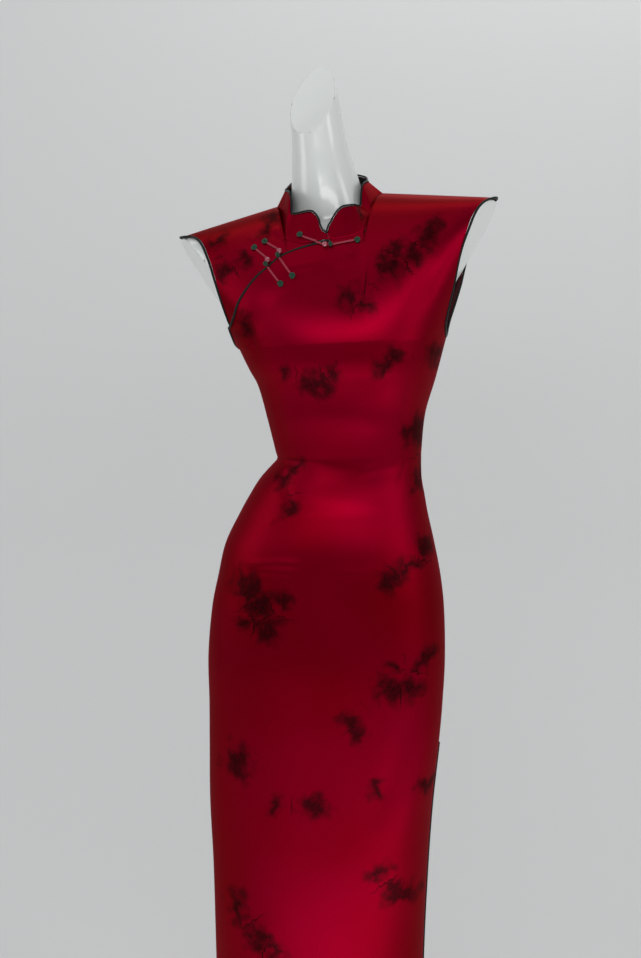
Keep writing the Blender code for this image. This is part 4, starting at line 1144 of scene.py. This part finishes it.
def buildForm():
    raw = finishMesh(wrapForm(), "formRaw", formMaterial)
    soft = raw.modifiers.new("skin", "REMESH")
    soft.mode = "VOXEL"
    soft.voxel_size = form["voxel"]
    mesh = bpy.data.meshes.new_from_object(raw.evaluated_get(bpy.context.evaluated_depsgraph_get()))
    bm = bmesh.new()
    bm.from_mesh(mesh)
    bpy.data.objects.remove(raw)
    for _ in range(form["smoothing"]):
        bmesh.ops.smooth_vert(bm, verts=bm.verts[:], factor=0.5, use_axis_x=True, use_axis_y=True, use_axis_z=True)
    for face in bm.faces:
        face.smooth = True
    for hand, high, low in form["stubs"]:
        top = pose(hand * high[0], 0.0, high[1])
        run = top - pose(hand * low[0], 0.0, low[1])
        facing = Vector((run.z, 0.0, -run.x)) * hand
        facing.y = form["stubLean"]
        floor = pose(hand * figure["armpitHalf"], 0.0, figure["armpit"]).z - form["stubBelow"]
        arm = [f for f in bm.faces if all(v.co.z > floor and v.co.x * hand > form["stubSide"] for v in f.verts)]
        cutFlat(bm, arm, top, facing)
    neck = [f for f in bm.faces if all(v.co.z > form["neckAbove"] for v in f.verts)]
    cutFlat(bm, neck, form["neckCut"], Vector(form["neckFacing"]))
    bmesh.ops.recalc_face_normals(bm, faces=bm.faces[:])
    smooth = [f.smooth for f in bm.faces]
    made = finishMesh(bm, "displayForm", formMaterial)
    made.data.polygons.foreach_set("use_smooth", smooth)
    mount(made, "dress_form")


buildForm()
print("form made")

stand = dict(
    baseRadius=0.180, baseHeight=0.008, baseEase=0.0022, poleRadius=0.0125, poleTop=0.5995, poleEase=0.0006,
    flangeRadius=0.035, flangeTop=0.020, flangeHeight=0.018, screwHeight=0.0125, screwTip=0.0027, screw=0.0030,
    gap=0.0003, sharpEnough=1.0,
)


def addRound(bm, radius, low, high, segments, ease, easeSegments, above):
    # a disc or tube on the stand's axis, with its rims eased above a height
    bmesh.ops.create_cone(bm, cap_ends=True, segments=segments, radius1=radius, radius2=radius, depth=high - low,
                          matrix=Matrix.Translation((0, 0, (low + high) / 2)))
    sharp = [e for e in bm.edges if e.calc_face_angle(0.0) > stand["sharpEnough"]]
    rim = [e for e in sharp if min(v.co.z for v in e.verts) > above]
    bmesh.ops.bevel(bm, geom=rim, offset=ease, segments=easeSegments, profile=0.5, affect="EDGES", material=-1)


def finishStand(bm, name, material, degrees, node):
    made = finishMesh(bm, name, material)
    made.data.set_sharp_from_angle(angle=math.radians(degrees))
    mount(made, node)


def buildStand():
    bm = bmesh.new()
    addRound(bm, stand["baseRadius"], 0.0, stand["baseHeight"], 128, stand["baseEase"], 4, 0.007)
    finishStand(bm, "standBase", baseMaterial, 50, "form_base")

    low = stand["baseHeight"] + stand["gap"]
    rise, wide, neck = stand["flangeHeight"], stand["flangeRadius"], stand["flangeTop"]
    profile = (
        (0.0, 0.0), (wide - 0.0006, 0.0), (wide, 0.0008), (wide, 0.0030), (wide - 0.0010, 0.0042),
        (neck + 0.0035, 0.0056), (neck + 0.0012, 0.0070), (neck - 0.0005, 0.0100), (neck - 0.0010, rise - 0.0010),
        (neck - 0.0020, rise), (0.0, rise),
    )
    bm = bmesh.new()
    verts = [bm.verts.new((r, 0.0, low + z)) for r, z in profile]
    edges = [bm.edges.new(pair) for pair in zip(verts, verts[1:])]
    bmesh.ops.spin(bm, geom=verts + edges, cent=(0, 0, 0), axis=(0, 0, 1), angle=2 * math.pi, steps=96,
                   use_merge=True)
    bmesh.ops.remove_doubles(bm, verts=bm.verts[:], dist=0.00005)
    bmesh.ops.recalc_face_normals(bm, faces=bm.faces[:])
    place = Matrix.Translation((0.0, -neck - 0.0004, low + stand["screwHeight"]))
    bmesh.ops.create_cone(bm, cap_ends=True, segments=24, radius1=stand["screw"], radius2=stand["screwTip"],
                          depth=stand["screw"], matrix=place @ Matrix.Rotation(math.radians(90), 4, "X"))
    finishStand(bm, "poleFlange", steelMaterial, 35, "form_flange")

    low += rise + stand["gap"]
    bm = bmesh.new()
    addRound(bm, stand["poleRadius"], low, stand["poleTop"], 64, stand["poleEase"], 2, 0.0)
    finishStand(bm, "standPole", steelMaterial, 40, "form_pole")


buildStand()
print("stand made")

sweep = dict(half=4.0, wallY=1.5, wallTop=4.5, bend=0.7, bendSteps=20, near=0.01, colour="#CFD0D0", glow=0.24)


def makeSweepPaper():
    # matt background paper, clear from behind so that the dress can be seen from all sides
    material, tree, shader, _ = newMaterial("mattBackgroundPaper")
    grey = toLinear(sweep["colour"])
    setSockets(shader, {"Base Color": grey, "Roughness": 0.9, "Specular IOR Level": 0.1, "Emission Color": grey,
                        "Emission Strength": sweep["glow"]})
    clear = addNode(tree, "ShaderNodeBsdfTransparent")
    side = addNode(tree, "ShaderNodeNewGeometry")
    mixed = addNode(tree, "ShaderNodeMixShader",
                    links={0: side.outputs["Backfacing"], 1: shader.outputs[0], 2: clear.outputs[0]})
    tree.links.new(mixed.outputs[0], tree.nodes["Material Output"].inputs["Surface"])
    return material


def buildStage():
    # a paper sweep: the floor runs up into the wall on a wide bend
    half, wallY, near = sweep["half"], sweep["wallY"], sweep["near"]
    bm = bmesh.new()
    bmesh.ops.create_grid(bm, x_segments=1, y_segments=2, size=1.0)
    for vert in bm.verts:
        row = round(vert.co.y)
        vert.co = (vert.co.x * half, -half if row < 0 else wallY, sweep["wallTop"] if row > 0 else 0.0)
    corner = [e for e in bm.edges if all(v.co.z < near and v.co.y > wallY - near for v in e.verts)]
    bmesh.ops.bevel(bm, geom=corner, offset=sweep["bend"], segments=sweep["bendSteps"], affect="EDGES", profile=0.5)
    finishMesh(bm, "paperSweep", makeSweepPaper())


def addLight(name, place, aim, size, power):
    data = bpy.data.lights.new(name, "AREA")
    data.shape = "RECTANGLE"
    data.size, data.size_y = size
    data.energy = power
    lamp = bpy.data.objects.new(name, data)
    lamp.location = place
    lamp.visible_camera = False
    lamp.rotation_euler = (Vector(aim) - Vector(place)).to_track_quat("-Z", "Y").to_euler()
    bpy.context.scene.collection.objects.link(lamp)


buildStage()
addLight("frontSoftbox", (0.35, -2.5, 1.75), (0.0, 0.0, 1.20), (2.4, 0.40), 16.5)
addLight("nearFloorCard", (0.45, -0.70, 0.02), (0.45, -0.70, 1.0), (1.3, 0.4), 3.2)
addLight("farFloorCard", (0.0, -1.75, 0.02), (0.0, -1.75, 1.0), (2.0, 0.35), 2.0)
addLight("ceilingSoftbox", (-0.4, -1.0, 3.0), (0.0, 0.0, 1.0), (2.0, 1.4), 5.0)
addLight("backSoftbox", (0.3, 1.3, 2.4), (0.0, 0.0, 0.9), (1.8, 0.8), 6.0)
addLight("leftWindow", (-2.6, -0.9, 1.7), (0.0, 0.0, 1.0), (1.0, 2.0), 13.0)
addLight("rightWindow", (2.4, -1.2, 1.5), (0.0, 0.0, 0.9), (0.7, 2.0), 13.0)
addLight("wallWash", (0.0, 0.3, 3.0), (0.0, 1.5, 0.9), (3.4, 0.6), 9.0)
room = dict(colour="#E4E6E8", strength=0.25)
world = bpy.data.worlds.new("room")
world.use_nodes = True
setSockets(world.node_tree.nodes["Background"], {"Color": toLinear(room["colour"]), "Strength": room["strength"]})
bpy.context.scene.world = world
bpy.context.scene.view_settings.view_transform = "Standard"
print("stage and lights made")
